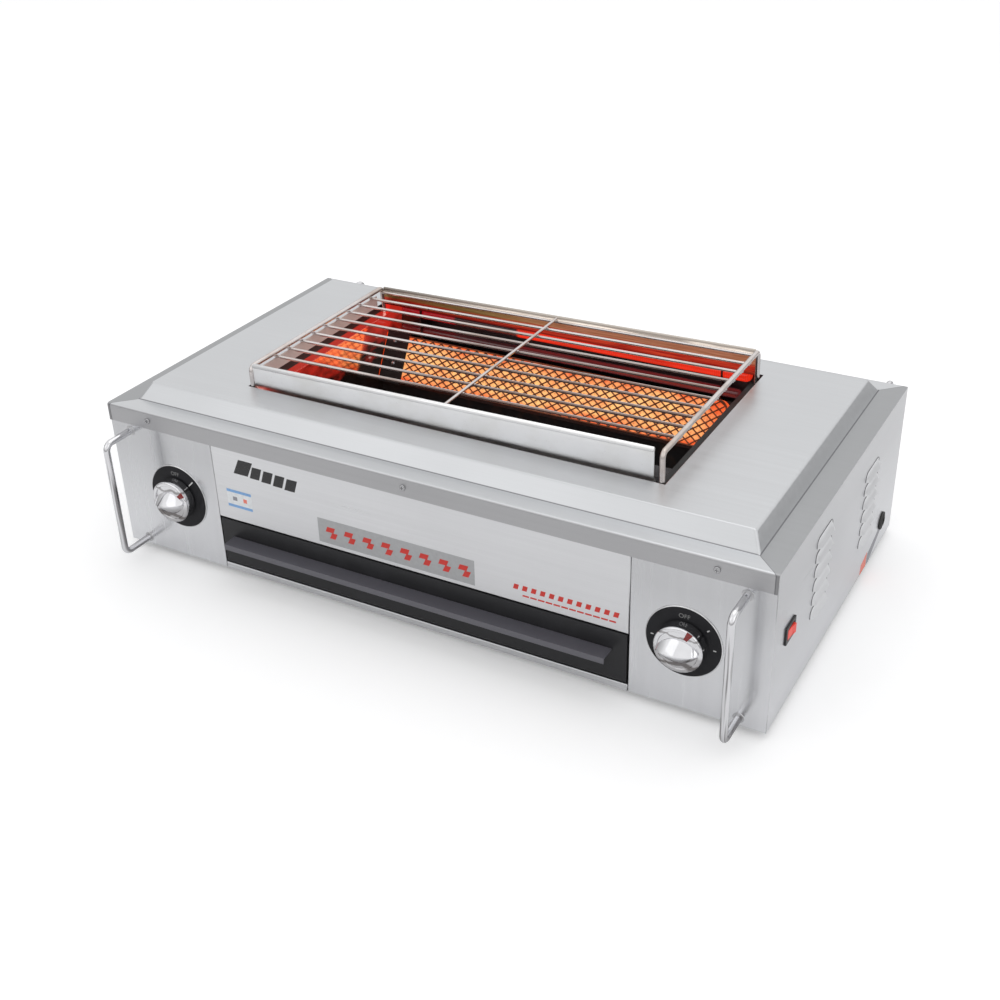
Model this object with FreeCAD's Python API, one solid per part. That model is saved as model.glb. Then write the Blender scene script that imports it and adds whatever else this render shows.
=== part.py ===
"""Counter-top electric fish roaster: one STEP file for each separate piece.

Millimetres. The origin is on the surface under the middle of the body, +X to the
right, +Y to the back and +Z up, so the control face looks along -Y.
"""
import FreeCAD
import Part
import math
import os

V = FreeCAD.Vector

# ---- driving dimensions -------------------------------------------------------
WIDTH = 820.0              # outside width of the body
DEPTH = 446.0              # outside depth of the body
BODY_HEIGHT = 165.0        # from the base pan up to the lower edge of the cover's lip
SHEET = 1.2                # stainless sheet
SEAM = 0.6                 # gap between neighbouring front panels

FOOT_HEIGHT = 8.0
FOOT_RADIUS = 13.0
FOOT_TAPER = 2.0           # the foot is this much narrower at the floor
FOOT_INSET = 55.0          # foot centre from the body's outer faces

LIP_HEIGHT = 22.0          # folded front edge of the cover
FLANGE = 23.0              # flat border before and behind the raised deck
SIDE_FLANGE = 27.5         # flat border beside it
STEP_RISE = 18.0           # raised deck above the flange
STEP_RUN = 15.0            # front and rear slopes of the step, measured flat
SIDE_STEP_RUN = 10.5

OPENING_FRONT_MARGIN = 79.0    # cooking opening from the body's front face
OPENING_BACK_MARGIN = 79.0
HEM_DROP = 10.0            # folded edge of the opening
LINER_INSET = 18.2         # firebox front and rear walls from the body's faces
LINER_CLEAR = 8.0          # those walls end this far above the tray's rim

APRON_CLEAR = 12.0         # centre apron ends this far above the tray's rim
RAIL_HEIGHT = 8.5          # bottom rail
RETURN_DEPTH = 10.0        # folded inner edges of the front panels

DRAWER_GAP = 1.5           # gap round the drawer front
DRAWER_FRONT_DEPTH = 10.0
DRAWER_CHAMFER = 0.6
TRAY_HALF_WIDTH = 248.0
TRAY_LIFT = 12.0           # tray floor above the base pan's underside
TRAY_DEEP = 48.0           # tray floor to rim
TRAY_BACK_GAP = 35.0       # tray's back edge from the body's rear face
TRAY_WALL = 1.0
TRAY_RIM_WIDTH = 8.0
RUNNER_GAP = 0.3           # between the tray rim and the rail that carries it
RAIL_SIDE_GAP = 1.0        # between the tray rim and the rail's web
RAIL_WALL_GAP = 4.4        # between the rail's web and the bulkhead
RAIL_SETBACK = 18.0        # rails start this far behind the front face
RAIL_OVERRUN = 5.0         # rails run this far past the tray
PULL_DROP = 22.0           # pull's upper face under the drawer front's upper edge
PULL_REACH = 20.0
PULL_LIP = 7.0
PULL_MARGIN = 17.0         # from each end of the drawer front
PULL_SHEET = 1.5

DIAL_INSET = 57.4          # dial centre from the bulkhead
DIAL_LIFT = 83.0           # dial centre above the base pan's underside
DIAL_RADIUS = 40.0
DIAL_THICK = 2.0
KNOB_RADIUS = 26.0
KNOB_BASE = 15.0           # depth of the knob's round skirt
KNOB_ROUND = 2.0           # rounded front edge of the skirt
KNOB_GRIP = 12.0           # height of the grip's ridge above the skirt
KNOB_GAP = 1.0
GRIP_HALF_LENGTH = 22.5    # at the grip's foot
GRIP_HALF_WIDTH = 13.5
RIDGE_HALF_WIDTH = 2.5     # at the grip's ridge
MARK_WIDTH = 3.0           # pointer notch in the skirt's rim
MARK_LENGTH = 5.0
MARK_DEPTH = 0.8
SHAFT_RADIUS = 3.0
SHAFT_FIT = 0.05           # radial, in the regulator's bush
SHAFT_CLEAR = 1.5          # radial, in the panel and the dial plate
SHAFT_LENGTH = 34.0
SHAFT_IN_KNOB = 12.0
LEFT_TURN = 55.0           # how far each knob's mark is turned from the top
RIGHT_TURN = 28.0
LEFT_GRIP_TURN = 79.0      # how far each grip is turned from upright
RIGHT_GRIP_TURN = 85.0
REGULATOR_SIZE = 44.0
REGULATOR_DEPTH = 30.0

HANDLE_INSET = 29.0        # handles from the body's sides
HANDLE_RADIUS = 4.0
HANDLE_REACH = 42.0
HANDLE_FOOT_GAP = 10.0     # lower arm above the base pan's underside
HANDLE_HEAD_GAP = 9.0      # upper arm under the cover's lip
HANDLE_BEND = 9.0
REAR_HANDLE_LIFT = 14.0    # the rear pair sits higher on its panel

SCREW_INSET = 60.0         # outer lip screws from the body's sides
SCREW_HEAD_RADIUS = 3.6
SCREW_HEAD = 2.0
SCREW_SHANK_RADIUS = 1.6
SCREW_LENGTH = 8.0
RECESS_LENGTH = 4.0        # cross recess in the screw head
RECESS_WIDTH = 0.8
RECESS_DEPTH = 0.9

LOUVRE_ROWS = 6
LOUVRE_PITCH = 17.0
LOUVRE_DROP = 6.0          # front column's top louvre under the cover's lip line
LOUVRE_BACK_DROP = 12.0    # the rear column starts this much lower
LOUVRE_LENGTH = 50.0
LOUVRE_HEIGHT = 11.0
LOUVRE_REACH = 4.5
LOUVRE_FRONT_INSET = 119.0     # front column from the front face
LOUVRE_BACK_INSET = 153.0      # rear column's front end from the rear face

SWITCH_INSET = 48.0        # switch centre from the front face
SWITCH_LIFT = 95.0         # switch centre above the base pan's underside
SWITCH_LONG = 28.0         # bezel, front to back
SWITCH_TALL = 20.0
SWITCH_BEZEL = 2.0
SWITCH_BODY = 20.0
SWITCH_WALL = 2.5          # bezel beyond the case
SWITCH_RIM = 1.5           # wall of the case round the rocker
ROCKER_GAP = 0.4
ROCKER_THICK = 8.0
ROCKER_PROUD = 2.2
ROCKER_TILT = 8.0          # either side of the middle position
ROCKER_ROUND = 0.8         # how far the rocker's ends lean in towards the face
ROCKER_HEEL = 2.0          # half width of its foot, and its depth under the panel

GLAND_INSET = 51.0         # gland centre from the rear face
GLAND_LIFT = 34.0          # gland centre above the base pan's underside
GLAND_RADIUS = 11.0
GLAND_FLANGE = 1.8
GLAND_NOSE = 1.2
GLAND_SHOULDER = 2.0       # nose inside the flange
GLAND_TAPER = 2.5
GLAND_NECK = 8.0           # radius of the hole in the side panel
GLAND_BORE = 4.6
GLAND_NUT = 4.0

PANEL_LEFT_GAP = 1.0       # glowing ceramic panel from the left bulkhead
PANEL_RIGHT_GAP = 42.0
PANEL_SETBACK = 54.8       # its upper edge from the firebox rear wall
PANEL_DROP = 45.2          # its upper edge under the deck
PANEL_LENGTH = 62.0        # down the slope
PANEL_SLOPE = 61.0         # from the horizontal
PANEL_THICK = 12.0
PANEL_CORNER = 12.0
MESH_THICK = 1.0
MESH_BORDER = 3.0
MESH_PITCH = 12.0
MESH_BAR = 1.4
STRAP_WIDTH = 33.5
STRAP_THICK = 2.0
STRAP_OVERHANG = 4.0
SKIRT_CLEAR = 4.0          # drip skirt and shield end this far above the tray's rim

TUBE_LEFT_GAP = 10.4       # quartz tubes from the left bulkhead
UPPER_TUBE_RADIUS = 8.0
UPPER_TUBE_RIGHT_GAP = 23.0
LOWER_TUBE_RADIUS = 6.0
LOWER_TUBE_RIGHT_GAP = 33.6
LOWER_TUBE_BEHIND = 19.0   # lower tube from the panel's upper edge
LOWER_TUBE_ABOVE = 2.2
UPPER_TUBE_BEHIND = 3.0    # upper tube from the lower one
UPPER_TUBE_ABOVE = 25.0
TUBE_HOLE_GAP = 0.3
HOLDER_INSET = 34.0        # left holder from the tubes' left ends
HOLDER_BACK_OFF = 25.0     # right holder from the lower tube's right end
HOLDER_THICK = 1.5
HOLDER_RIM = 3.0
HOLDER_NOTCH = 1.5         # round the panel's upper corner
REFLECTOR_FOOT_BEHIND = 13.0   # reflector from the lower and the upper tube
REFLECTOR_FOOT_BELOW = 12.0
REFLECTOR_TOP_BEHIND = 16.0
REFLECTOR_TOP_ABOVE = 11.0
SHIELD_REACH = 76.8        # drip shield out of the firebox front wall
SHIELD_RISE = 48.0

RACK_LEFT_GAP = 0.9        # outer ends of the rack from the opening's edges
RACK_RIGHT_GAP = 1.9
RACK_FRONT_GAP = 3.5       # leg centres from the opening's edges
RACK_BACK_GAP = 9.0
RACK_TILT = 1.0            # the right end stands higher
RACK_RISE = 23.5           # left end wire's centre line above the deck
RACK_END_RADIUS = 3.0
RACK_ROD_RADIUS = 2.2
RACK_RODS = 10
ROD_FRONT_GAP = 45.8       # first and last rods from the legs
ROD_BACK_GAP = 3.6
RACK_WELD = 0.6            # how far crossing rods sink into each other
RACK_BEND = 7.0
STRIP_THICK = 1.2
STRIP_DROP = 21.4          # back and left strips end this far under the end wires
STRIP_FOOT_GAP = 4.0       # the front strip stops this far above the seats
STRIP_END_GAP = 6.0        # between the front strip and the right leg
STRIP_LIFT = 2.1           # front strip's rolled edge above the end wires
FRONT_BEAD = 2.8           # radius of the front strip's rolled edge
BACK_BEAD = 2.2
SEAT_WIDTH = 14.0
SEAT_DROP = 14.0
SEAT_GAP = 0.3             # under the rack's feet

TERMINAL_SIZE = (26.0, 58.0, 22.0)
TERMINAL_SIDE_INSET = 60.0
TERMINAL_BACK_INSET = 103.0
TERMINAL_SLOT = 2.0

# ---- sizes worked out from them -----------------------------------------------
HALF_W = WIDTH / 2
HALF_D = DEPTH / 2
FRONT = -HALF_D
FRONT_INNER = FRONT + SHEET
BASE = FOOT_HEIGHT                       # underside of the base pan
PAN_TOP = BASE + SHEET
LIP_FOOT = BASE + BODY_HEIGHT
FLANGE_TOP = LIP_FOOT + LIP_HEIGHT
PANEL_TOP = FLANGE_TOP - SHEET           # where every outer panel ends
DECK_TOP = FLANGE_TOP + STEP_RISE
DECK_UNDER = DECK_TOP - SHEET
SCREW_HEIGHT = LIP_FOOT + LIP_HEIGHT / 2
SCREW_X = HALF_W - SCREW_INSET

RAIL_TOP = BASE + RAIL_HEIGHT
TRAY_FLOOR = BASE + TRAY_LIFT
TRAY_RIM = TRAY_FLOOR + TRAY_DEEP
TRAY_BACK = HALF_D - TRAY_BACK_GAP
APRON_FOOT = TRAY_RIM + APRON_CLEAR
PULL_HEIGHT = APRON_FOOT - DRAWER_GAP - PULL_DROP
RAIL_WEB = TRAY_HALF_WIDTH + TRAY_RIM_WIDTH + RAIL_SIDE_GAP    # inner face of the rail's web
RAIL_FRONT = FRONT + RAIL_SETBACK
RAIL_BACK = TRAY_BACK + RAIL_OVERRUN

BULKHEAD_X = RAIL_WEB + SHEET + RAIL_WALL_GAP                  # inner faces of the bulkheads
OPENING_HALF = BULKHEAD_X - SHEET
OPENING_FRONT = FRONT + OPENING_FRONT_MARGIN
OPENING_BACK = HALF_D - OPENING_BACK_MARGIN
LINER_Y = HALF_D - LINER_INSET
LINER_FOOT = TRAY_RIM + LINER_CLEAR
SKIRT_FOOT = TRAY_RIM + SKIRT_CLEAR
SHIELD_LOW_Y = SHIELD_REACH - LINER_Y
SEAT_TOP = DECK_TOP - HEM_DROP           # the rack's seats hang just under the hem

DIAL_X = BULKHEAD_X + DIAL_INSET
DIAL_Z = BASE + DIAL_LIFT
KNOB_BACK = FRONT - DIAL_THICK - KNOB_GAP                      # plane of the knobs' back faces
HANDLE_X = HALF_W - HANDLE_INSET
HANDLE_LOW = BASE + HANDLE_FOOT_GAP
HANDLE_HIGH = LIP_FOOT - HANDLE_HEAD_GAP
LOUVRE_TOP = LIP_FOOT - LOUVRE_DROP
LOUVRE_COLUMNS = ((FRONT + LOUVRE_FRONT_INSET, LOUVRE_TOP),    # front end and top of each column
                  (HALF_D - LOUVRE_BACK_INSET, LOUVRE_TOP - LOUVRE_BACK_DROP))
SWITCH_Y = FRONT + SWITCH_INSET
SWITCH_Z = BASE + SWITCH_LIFT
ROCKER_PIVOT_X = HALF_W - ROCKER_THICK / 2
GLAND_Y = HALF_D - GLAND_INSET
GLAND_Z = BASE + GLAND_LIFT
TERMINAL_X = HALF_W - TERMINAL_SIDE_INSET
TERMINAL_Y = HALF_D - TERMINAL_BACK_INSET

PANEL_LEFT = PANEL_LEFT_GAP - BULKHEAD_X
PANEL_RIGHT = BULKHEAD_X - PANEL_RIGHT_GAP
PANEL_HIGH_Y = LINER_Y - PANEL_SETBACK
PANEL_HIGH_Z = DECK_TOP - PANEL_DROP
PANEL_LOW_Y = PANEL_HIGH_Y - PANEL_LENGTH * math.cos(math.radians(PANEL_SLOPE))
PANEL_LOW_Z = PANEL_HIGH_Z - PANEL_LENGTH * math.sin(math.radians(PANEL_SLOPE))
STRAP_RIGHT = PANEL_LEFT + STRAP_WIDTH
TUBE_LEFT = TUBE_LEFT_GAP - BULKHEAD_X
UPPER_TUBE_RIGHT = BULKHEAD_X - UPPER_TUBE_RIGHT_GAP
LOWER_TUBE_RIGHT = BULKHEAD_X - LOWER_TUBE_RIGHT_GAP
LOWER_TUBE_Y = PANEL_HIGH_Y + LOWER_TUBE_BEHIND
LOWER_TUBE_Z = PANEL_HIGH_Z + LOWER_TUBE_ABOVE
UPPER_TUBE_Y = LOWER_TUBE_Y + UPPER_TUBE_BEHIND
UPPER_TUBE_Z = LOWER_TUBE_Z + UPPER_TUBE_ABOVE
HOLDER_X = (TUBE_LEFT + HOLDER_INSET, LOWER_TUBE_RIGHT - HOLDER_BACK_OFF)
REFLECTOR_FOOT_Y = LOWER_TUBE_Y + REFLECTOR_FOOT_BEHIND
REFLECTOR_FOOT_Z = LOWER_TUBE_Z - REFLECTOR_FOOT_BELOW
REFLECTOR_TOP_Y = UPPER_TUBE_Y + REFLECTOR_TOP_BEHIND
REFLECTOR_TOP_Z = UPPER_TUBE_Z + REFLECTOR_TOP_ABOVE

RACK_LEFT = RACK_LEFT_GAP - OPENING_HALF
RACK_RIGHT = OPENING_HALF - RACK_RIGHT_GAP
RACK_FRONT = OPENING_FRONT + RACK_FRONT_GAP
RACK_BACK = OPENING_BACK - RACK_BACK_GAP
RACK_HEIGHT = DECK_TOP + RACK_RISE


# ---- small tools ---------------------------------------------------------------
def block(x0, x1, y0, y1, z0, z1):
    """Box between two corners."""
    return Part.makeBox(x1 - x0, y1 - y0, z1 - z0, V(x0, y0, z0))


def cylinder(radius, start, axis, length):
    """Round bar from start along axis."""
    return Part.makeCylinder(radius, length, V(*start), V(*axis))


def prism_x(points, x0, x1):
    """Profile of (y, z) points, carried from x0 to x1."""
    ring = [V(x0, y, z) for y, z in points]
    face = Part.Face(Part.makePolygon(ring + ring[:1]))
    return face.extrude(V(x1 - x0, 0, 0))


def prism_y(points, y0, y1):
    """Profile of (x, z) points, carried from y0 to y1."""
    ring = [V(x, y0, z) for x, z in points]
    face = Part.Face(Part.makePolygon(ring + ring[:1]))
    return face.extrude(V(0, y1 - y0, 0))


def hexagon_x(radius, y, z, x0, x1):
    """Six-sided prism along X, round a point."""
    turns = [math.radians(60 * k) for k in range(6)]
    return prism_x([(y + radius * math.cos(t), z + radius * math.sin(t)) for t in turns], x0, x1)


def mirrored(shape):
    """Left-right twin of a shape."""
    return shape.mirror(V(0, 0, 0), V(1, 0, 0))


def fused(shapes):
    """One solid from touching or crossing pieces."""
    return shapes[0].multiFuse(shapes[1:]).removeSplitter()


def bent_wire(points, radius, bend):
    """Round wire along points, with each corner rounded to the bend radius."""
    corners = [V(*p) for p in points]
    edges = []
    start = corners[0]
    for before, here, after in zip(corners, corners[1:], corners[2:]):
        arrive = (here - before).normalize()
        leave = (after - here).normalize()
        turn = arrive.getAngle(leave)
        cut = bend * math.tan(turn / 2)
        first = here - arrive * cut
        last = here + leave * cut
        inward = (leave - arrive).normalize()
        middle = here + inward * (bend / math.cos(turn / 2) - bend)
        edges.append(Part.LineSegment(start, first).toShape())
        edges.append(Part.Arc(first, middle, last).toShape())
        start = last
    edges.append(Part.LineSegment(start, corners[-1]).toShape())
    path = Part.Wire(edges)
    heading = corners[1] - corners[0]
    ring = Part.Wire(Part.makeCircle(radius, corners[0], heading))
    return path.makePipeShell([ring], True, False)


def rectangle(half_x, y0, y1, z):
    """Closed rectangular wire on a level plane."""
    ring = [V(-half_x, y0, z), V(half_x, y0, z), V(half_x, y1, z), V(-half_x, y1, z)]
    return Part.makePolygon(ring + ring[:1])


def slope_point(along, off=0.0):
    """(y, z) on the ceramic panel's face, up the slope and out of the face."""
    angle = math.radians(PANEL_SLOPE)
    y = PANEL_LOW_Y + along * math.cos(angle) - off * math.sin(angle)
    z = PANEL_LOW_Z + along * math.sin(angle) + off * math.cos(angle)
    return y, z


def slope_slab(x0, x1, low, high, off0, off1):
    """Slab parallel to the panel's face."""
    corners = [slope_point(low, off0), slope_point(high, off0),
               slope_point(high, off1), slope_point(low, off1)]
    return prism_x(corners, x0, x1)


# ---- body shell ----------------------------------------------------------------
def base_pan():
    """Bottom sheet inside the outer panels."""
    half = HALF_W - SHEET
    return block(-half, half, FRONT_INNER, HALF_D - SHEET, BASE, PAN_TOP)


def foot(x, y):
    """Round rubber foot, slightly tapered."""
    return Part.makeCone(FOOT_RADIUS - FOOT_TAPER, FOOT_RADIUS, FOOT_HEIGHT, V(x, y, 0))


def louvre(start, top):
    """Pressed hood and the slot behind it, for the right-hand panel."""
    low = top - LOUVRE_HEIGHT
    outer = [(HALF_W, top), (HALF_W + LOUVRE_REACH, low + SHEET), (HALF_W + LOUVRE_REACH, low),
             (HALF_W, low)]
    inner = [(HALF_W - 2 * SHEET, top - SHEET), (HALF_W, top - 1.6 * SHEET),
             (HALF_W + LOUVRE_REACH - SHEET, low + 0.5 * SHEET),
             (HALF_W + LOUVRE_REACH - SHEET, low - SHEET), (HALF_W - 2 * SHEET, low - SHEET)]
    hood = prism_y(outer, start, start + LOUVRE_LENGTH)
    slot = prism_y(inner, start + SHEET, start + LOUVRE_LENGTH - SHEET)
    mouth = block(HALF_W - 2 * SHEET, HALF_W, start + SHEET, start + LOUVRE_LENGTH - SHEET,
                  low - SHEET, low)
    return hood, slot.cut(mouth)


def side_panel():
    """Right-hand side with two columns of louvres, before its own holes."""
    sheet = block(HALF_W - SHEET, HALF_W, FRONT_INNER, HALF_D, BASE, PANEL_TOP)
    hoods = []
    slots = []
    for start, top in LOUVRE_COLUMNS:
        for row in range(LOUVRE_ROWS):
            hood, slot = louvre(start, top - row * LOUVRE_PITCH)
            hoods.append(hood)
            slots.append(slot)
    return fused([sheet] + hoods).cut(Part.makeCompound(slots))


def side_panel_right():
    """Side that carries the switch and the cable gland."""
    window = block(HALF_W - 2 * SHEET, HALF_W + SHEET,
                   SWITCH_Y - SWITCH_LONG / 2 + SWITCH_WALL, SWITCH_Y + SWITCH_LONG / 2 - SWITCH_WALL,
                   SWITCH_Z - SWITCH_TALL / 2 + SWITCH_WALL, SWITCH_Z + SWITCH_TALL / 2 - SWITCH_WALL)
    hole = cylinder(GLAND_NECK, (HALF_W - 2 * SHEET, GLAND_Y, GLAND_Z), (1, 0, 0), 4 * SHEET)
    return side_panel().cut(Part.makeCompound([window, hole]))


def rear_panel():
    """Plain back sheet between the side panels."""
    return block(-HALF_W + SHEET, HALF_W - SHEET, HALF_D - SHEET, HALF_D, BASE, PANEL_TOP)


def control_panel():
    """Right-hand control panel with its folded inner edge and shaft hole."""
    face = block(OPENING_HALF, HALF_W, FRONT, FRONT_INNER, BASE, PANEL_TOP)
    fold = block(OPENING_HALF, BULKHEAD_X, FRONT_INNER, FRONT_INNER + RETURN_DEPTH, PAN_TOP, PANEL_TOP)
    hole = cylinder(SHAFT_RADIUS + SHAFT_CLEAR, (DIAL_X, FRONT - SHEET, DIAL_Z), (0, 1, 0), 4 * SHEET)
    screw = cylinder(SCREW_SHANK_RADIUS, (SCREW_X, FRONT - SHEET, SCREW_HEIGHT), (0, 1, 0), 4 * SHEET)
    return fused([face, fold]).cut(Part.makeCompound([hole, screw]))


def front_apron():
    """Centre panel above the drawer, hemmed inwards at the foot."""
    half = OPENING_HALF - SEAM
    face = block(-half, half, FRONT, FRONT_INNER, APRON_FOOT, PANEL_TOP)
    hem = block(-half, half, FRONT_INNER, FRONT_INNER + RETURN_DEPTH, APRON_FOOT, APRON_FOOT + SHEET)
    screw = cylinder(SCREW_SHANK_RADIUS, (0, FRONT - SHEET, SCREW_HEIGHT), (0, 1, 0), 4 * SHEET)
    return fused([face, hem]).cut(screw)


def bottom_rail():
    """Narrow strip under the drawer, hemmed inwards at the top."""
    half = OPENING_HALF - SEAM
    face = block(-half, half, FRONT, FRONT_INNER, BASE, RAIL_TOP)
    hem = block(-half, half, FRONT_INNER, FRONT_INNER + RETURN_DEPTH, RAIL_TOP - SHEET, RAIL_TOP)
    return fused([face, hem])


def cover_solid(drop, inset):
    """Solid under the cover's upper skin, lowered and inset by the given amounts."""
    half_x = HALF_W - inset
    back = HALF_D - inset
    front = FRONT + inset
    low = LIP_FOOT - SHEET
    slab = block(-half_x, half_x, front, back, low, FLANGE_TOP - drop)
    foot_x = HALF_W - SIDE_FLANGE - drop / 2
    foot_y = HALF_D - FLANGE - drop / 2
    base_ring = rectangle(foot_x, -foot_y, foot_y, FLANGE_TOP - drop)
    top_ring = rectangle(foot_x - SIDE_STEP_RUN, -foot_y + STEP_RUN, foot_y - STEP_RUN, DECK_TOP - drop)
    raised = Part.makeLoft([base_ring, top_ring], True, True)
    return slab.fuse(raised)


def top_cover():
    """Raised deck with a flat border, a folded front lip and a hemmed opening."""
    skin = cover_solid(0.0, 0.0).cut(cover_solid(SHEET, 0.0))
    lip = block(-HALF_W, HALF_W, FRONT - SHEET, FRONT, LIP_FOOT, FLANGE_TOP)
    collar = block(-BULKHEAD_X, BULKHEAD_X, OPENING_FRONT - SHEET, OPENING_BACK,
                   DECK_TOP - HEM_DROP, DECK_TOP)
    well = block(-OPENING_HALF, OPENING_HALF, OPENING_FRONT, OPENING_BACK + SHEET,
                 DECK_TOP - 2 * HEM_DROP, DECK_TOP + HEM_DROP)
    mouth = block(-OPENING_HALF, OPENING_HALF, OPENING_FRONT, OPENING_BACK,
                  DECK_TOP - 2 * HEM_DROP, DECK_TOP + HEM_DROP)
    holes = [cylinder(SCREW_SHANK_RADIUS, (x, FRONT - 4 * SHEET, SCREW_HEIGHT), (0, 1, 0), 4 * SHEET)
             for x in screw_places()]
    whole = fused([skin, lip, collar.cut(well)])
    return whole.cut(Part.makeCompound([mouth] + holes)).removeSplitter()


def screw_places():
    """Sideways places of the lip screws."""
    return -SCREW_X, 0.0, SCREW_X


def lip_screw(x):
    """Round-headed screw with a cross recess."""
    face = FRONT - SHEET
    head = cylinder(SCREW_HEAD_RADIUS, (x, face - SCREW_HEAD, SCREW_HEIGHT), (0, 1, 0), SCREW_HEAD)
    rim = [e for e in head.Edges if e.CenterOfMass.y < face - SCREW_HEAD / 2 and len(e.Vertexes) == 1]
    head = head.makeFillet(SCREW_HEAD * 0.6, rim)
    shank = cylinder(SCREW_SHANK_RADIUS, (x, face, SCREW_HEIGHT), (0, 1, 0), SCREW_LENGTH)
    front = face - SCREW_HEAD
    bars = []
    for half_x, half_z in ((RECESS_LENGTH / 2, RECESS_WIDTH / 2), (RECESS_WIDTH / 2, RECESS_LENGTH / 2)):
        bars.append(block(x - half_x, x + half_x, front - SCREW_HEAD, front + RECESS_DEPTH,
                          SCREW_HEIGHT - half_z, SCREW_HEIGHT + half_z))
    return head.fuse(shank).cut(Part.makeCompound(bars))


# ---- firebox --------------------------------------------------------------------
def bulkhead():
    """Right-hand wall between the firebox and the control bay."""
    return block(BULKHEAD_X, BULKHEAD_X + SHEET, FRONT_INNER, HALF_D - SHEET, PAN_TOP, DECK_UNDER).cut(
        corner_under_step())


def corner_under_step():
    """Space that the bulkhead leaves to the cover's border and slope."""
    inner = cover_solid(SHEET, 0.0)
    around = block(BULKHEAD_X - SHEET, BULKHEAD_X + 2 * SHEET, -HALF_D, HALF_D, LIP_FOOT, DECK_TOP)
    return around.cut(inner)


def liner(front_side):
    """Front or rear wall of the firebox, between the bulkheads."""
    y0 = -LINER_Y - SHEET if front_side else LINER_Y
    return block(-BULKHEAD_X, BULKHEAD_X, y0, y0 + SHEET, LINER_FOOT, PANEL_TOP)


def drip_shield():
    """Black front baffle that leads drips back to the tray."""
    low_y, low_z = SHIELD_LOW_Y, SKIRT_FOOT
    high_y, high_z = -LINER_Y, SKIRT_FOOT + SHIELD_RISE
    points = [(low_y, low_z), (low_y + SHEET, low_z), (low_y + SHEET, low_z + SHEET),
              (high_y, high_z + SHEET), (high_y, high_z)]
    return prism_x(points, -BULKHEAD_X, BULKHEAD_X)


def rack_seat():
    """Right-hand angle under the opening that the rack's feet stand on."""
    y0 = RACK_FRONT - SEAT_WIDTH / 2
    y1 = RACK_BACK + SEAT_WIDTH / 2
    shelf = block(BULKHEAD_X - SEAT_WIDTH, BULKHEAD_X, y0, y1, SEAT_TOP - SHEET, SEAT_TOP)
    web = block(BULKHEAD_X - SHEET, BULKHEAD_X, y0, y1, SEAT_TOP - SEAT_DROP, SEAT_TOP)
    return fused([shelf, web])


def ceramic_panel():
    """Sloping ceramic radiant panel, rounded at its free end."""
    slab = slope_slab(PANEL_LEFT, PANEL_RIGHT, 0.0, PANEL_LENGTH, -PANEL_THICK, 0.0)
    return rounded_end(slab)


def rounded_end(slab):
    """Round the two free-end corners of a slab that lies along the slope."""
    ends = []
    for edge in slab.Edges:
        middle = edge.CenterOfMass
        across = edge.Vertexes[0].Point - edge.Vertexes[1].Point
        normal = V(0, math.sin(math.radians(PANEL_SLOPE)), -math.cos(math.radians(PANEL_SLOPE)))
        if middle.x > PANEL_RIGHT - 1 and abs(across.cross(normal).Length) < 1e-3 * across.Length:
            ends.append(edge)
    return slab.makeFillet(PANEL_CORNER, ends)


def mesh_guard():
    """Wire guard over the ceramic panel: a border with upright bars."""
    x0 = STRAP_RIGHT
    plate = rounded_end(slope_slab(x0, PANEL_RIGHT, 0.0, PANEL_LENGTH, 0.0, MESH_THICK))
    slots = []
    count = int((PANEL_RIGHT - PANEL_CORNER - x0 - MESH_BORDER) / MESH_PITCH)
    for index in range(count):
        left = x0 + MESH_BORDER + index * MESH_PITCH
        slots.append(slope_slab(left, left + MESH_PITCH - MESH_BAR, MESH_BORDER,
                                PANEL_LENGTH - MESH_BORDER, -MESH_THICK, 2 * MESH_THICK))
    return plate.cut(Part.makeCompound(slots))


def heater_strap():
    """Black strap across the panel near its left end."""
    return slope_slab(PANEL_LEFT, STRAP_RIGHT, -STRAP_OVERHANG, PANEL_LENGTH + STRAP_OVERHANG,
                      0.0, STRAP_THICK)


def heater_channel():
    """Backing sheet behind the panel, turned down as a drip skirt."""
    plate = slope_slab(-BULKHEAD_X, BULKHEAD_X, -STRAP_OVERHANG, PANEL_LENGTH,
                       -PANEL_THICK - SHEET, -PANEL_THICK)
    low_y, low_z = slope_point(-STRAP_OVERHANG, -PANEL_THICK - SHEET)
    skirt = block(-BULKHEAD_X, BULKHEAD_X, low_y - SHEET, low_y, SKIRT_FOOT, low_z + SHEET)
    return fused([plate, skirt])


def quartz_tube(y, z, radius, right):
    """Quartz heating tube with domed ends."""
    body = cylinder(radius, (TUBE_LEFT + radius, y, z), (1, 0, 0), right - TUBE_LEFT - 2 * radius)
    ends = [Part.makeSphere(radius, V(x, y, z)) for x in (TUBE_LEFT + radius, right - radius)]
    return body.multiFuse(ends)


def inside_reflector(z):
    """(y, z) of the middle of the reflector's sheet at one height."""
    share = (z - REFLECTOR_FOOT_Z) / (REFLECTOR_TOP_Z - REFLECTOR_FOOT_Z)
    return REFLECTOR_FOOT_Y + share * (REFLECTOR_TOP_Y - REFLECTOR_FOOT_Y) + SHEET / 2, z


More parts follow.
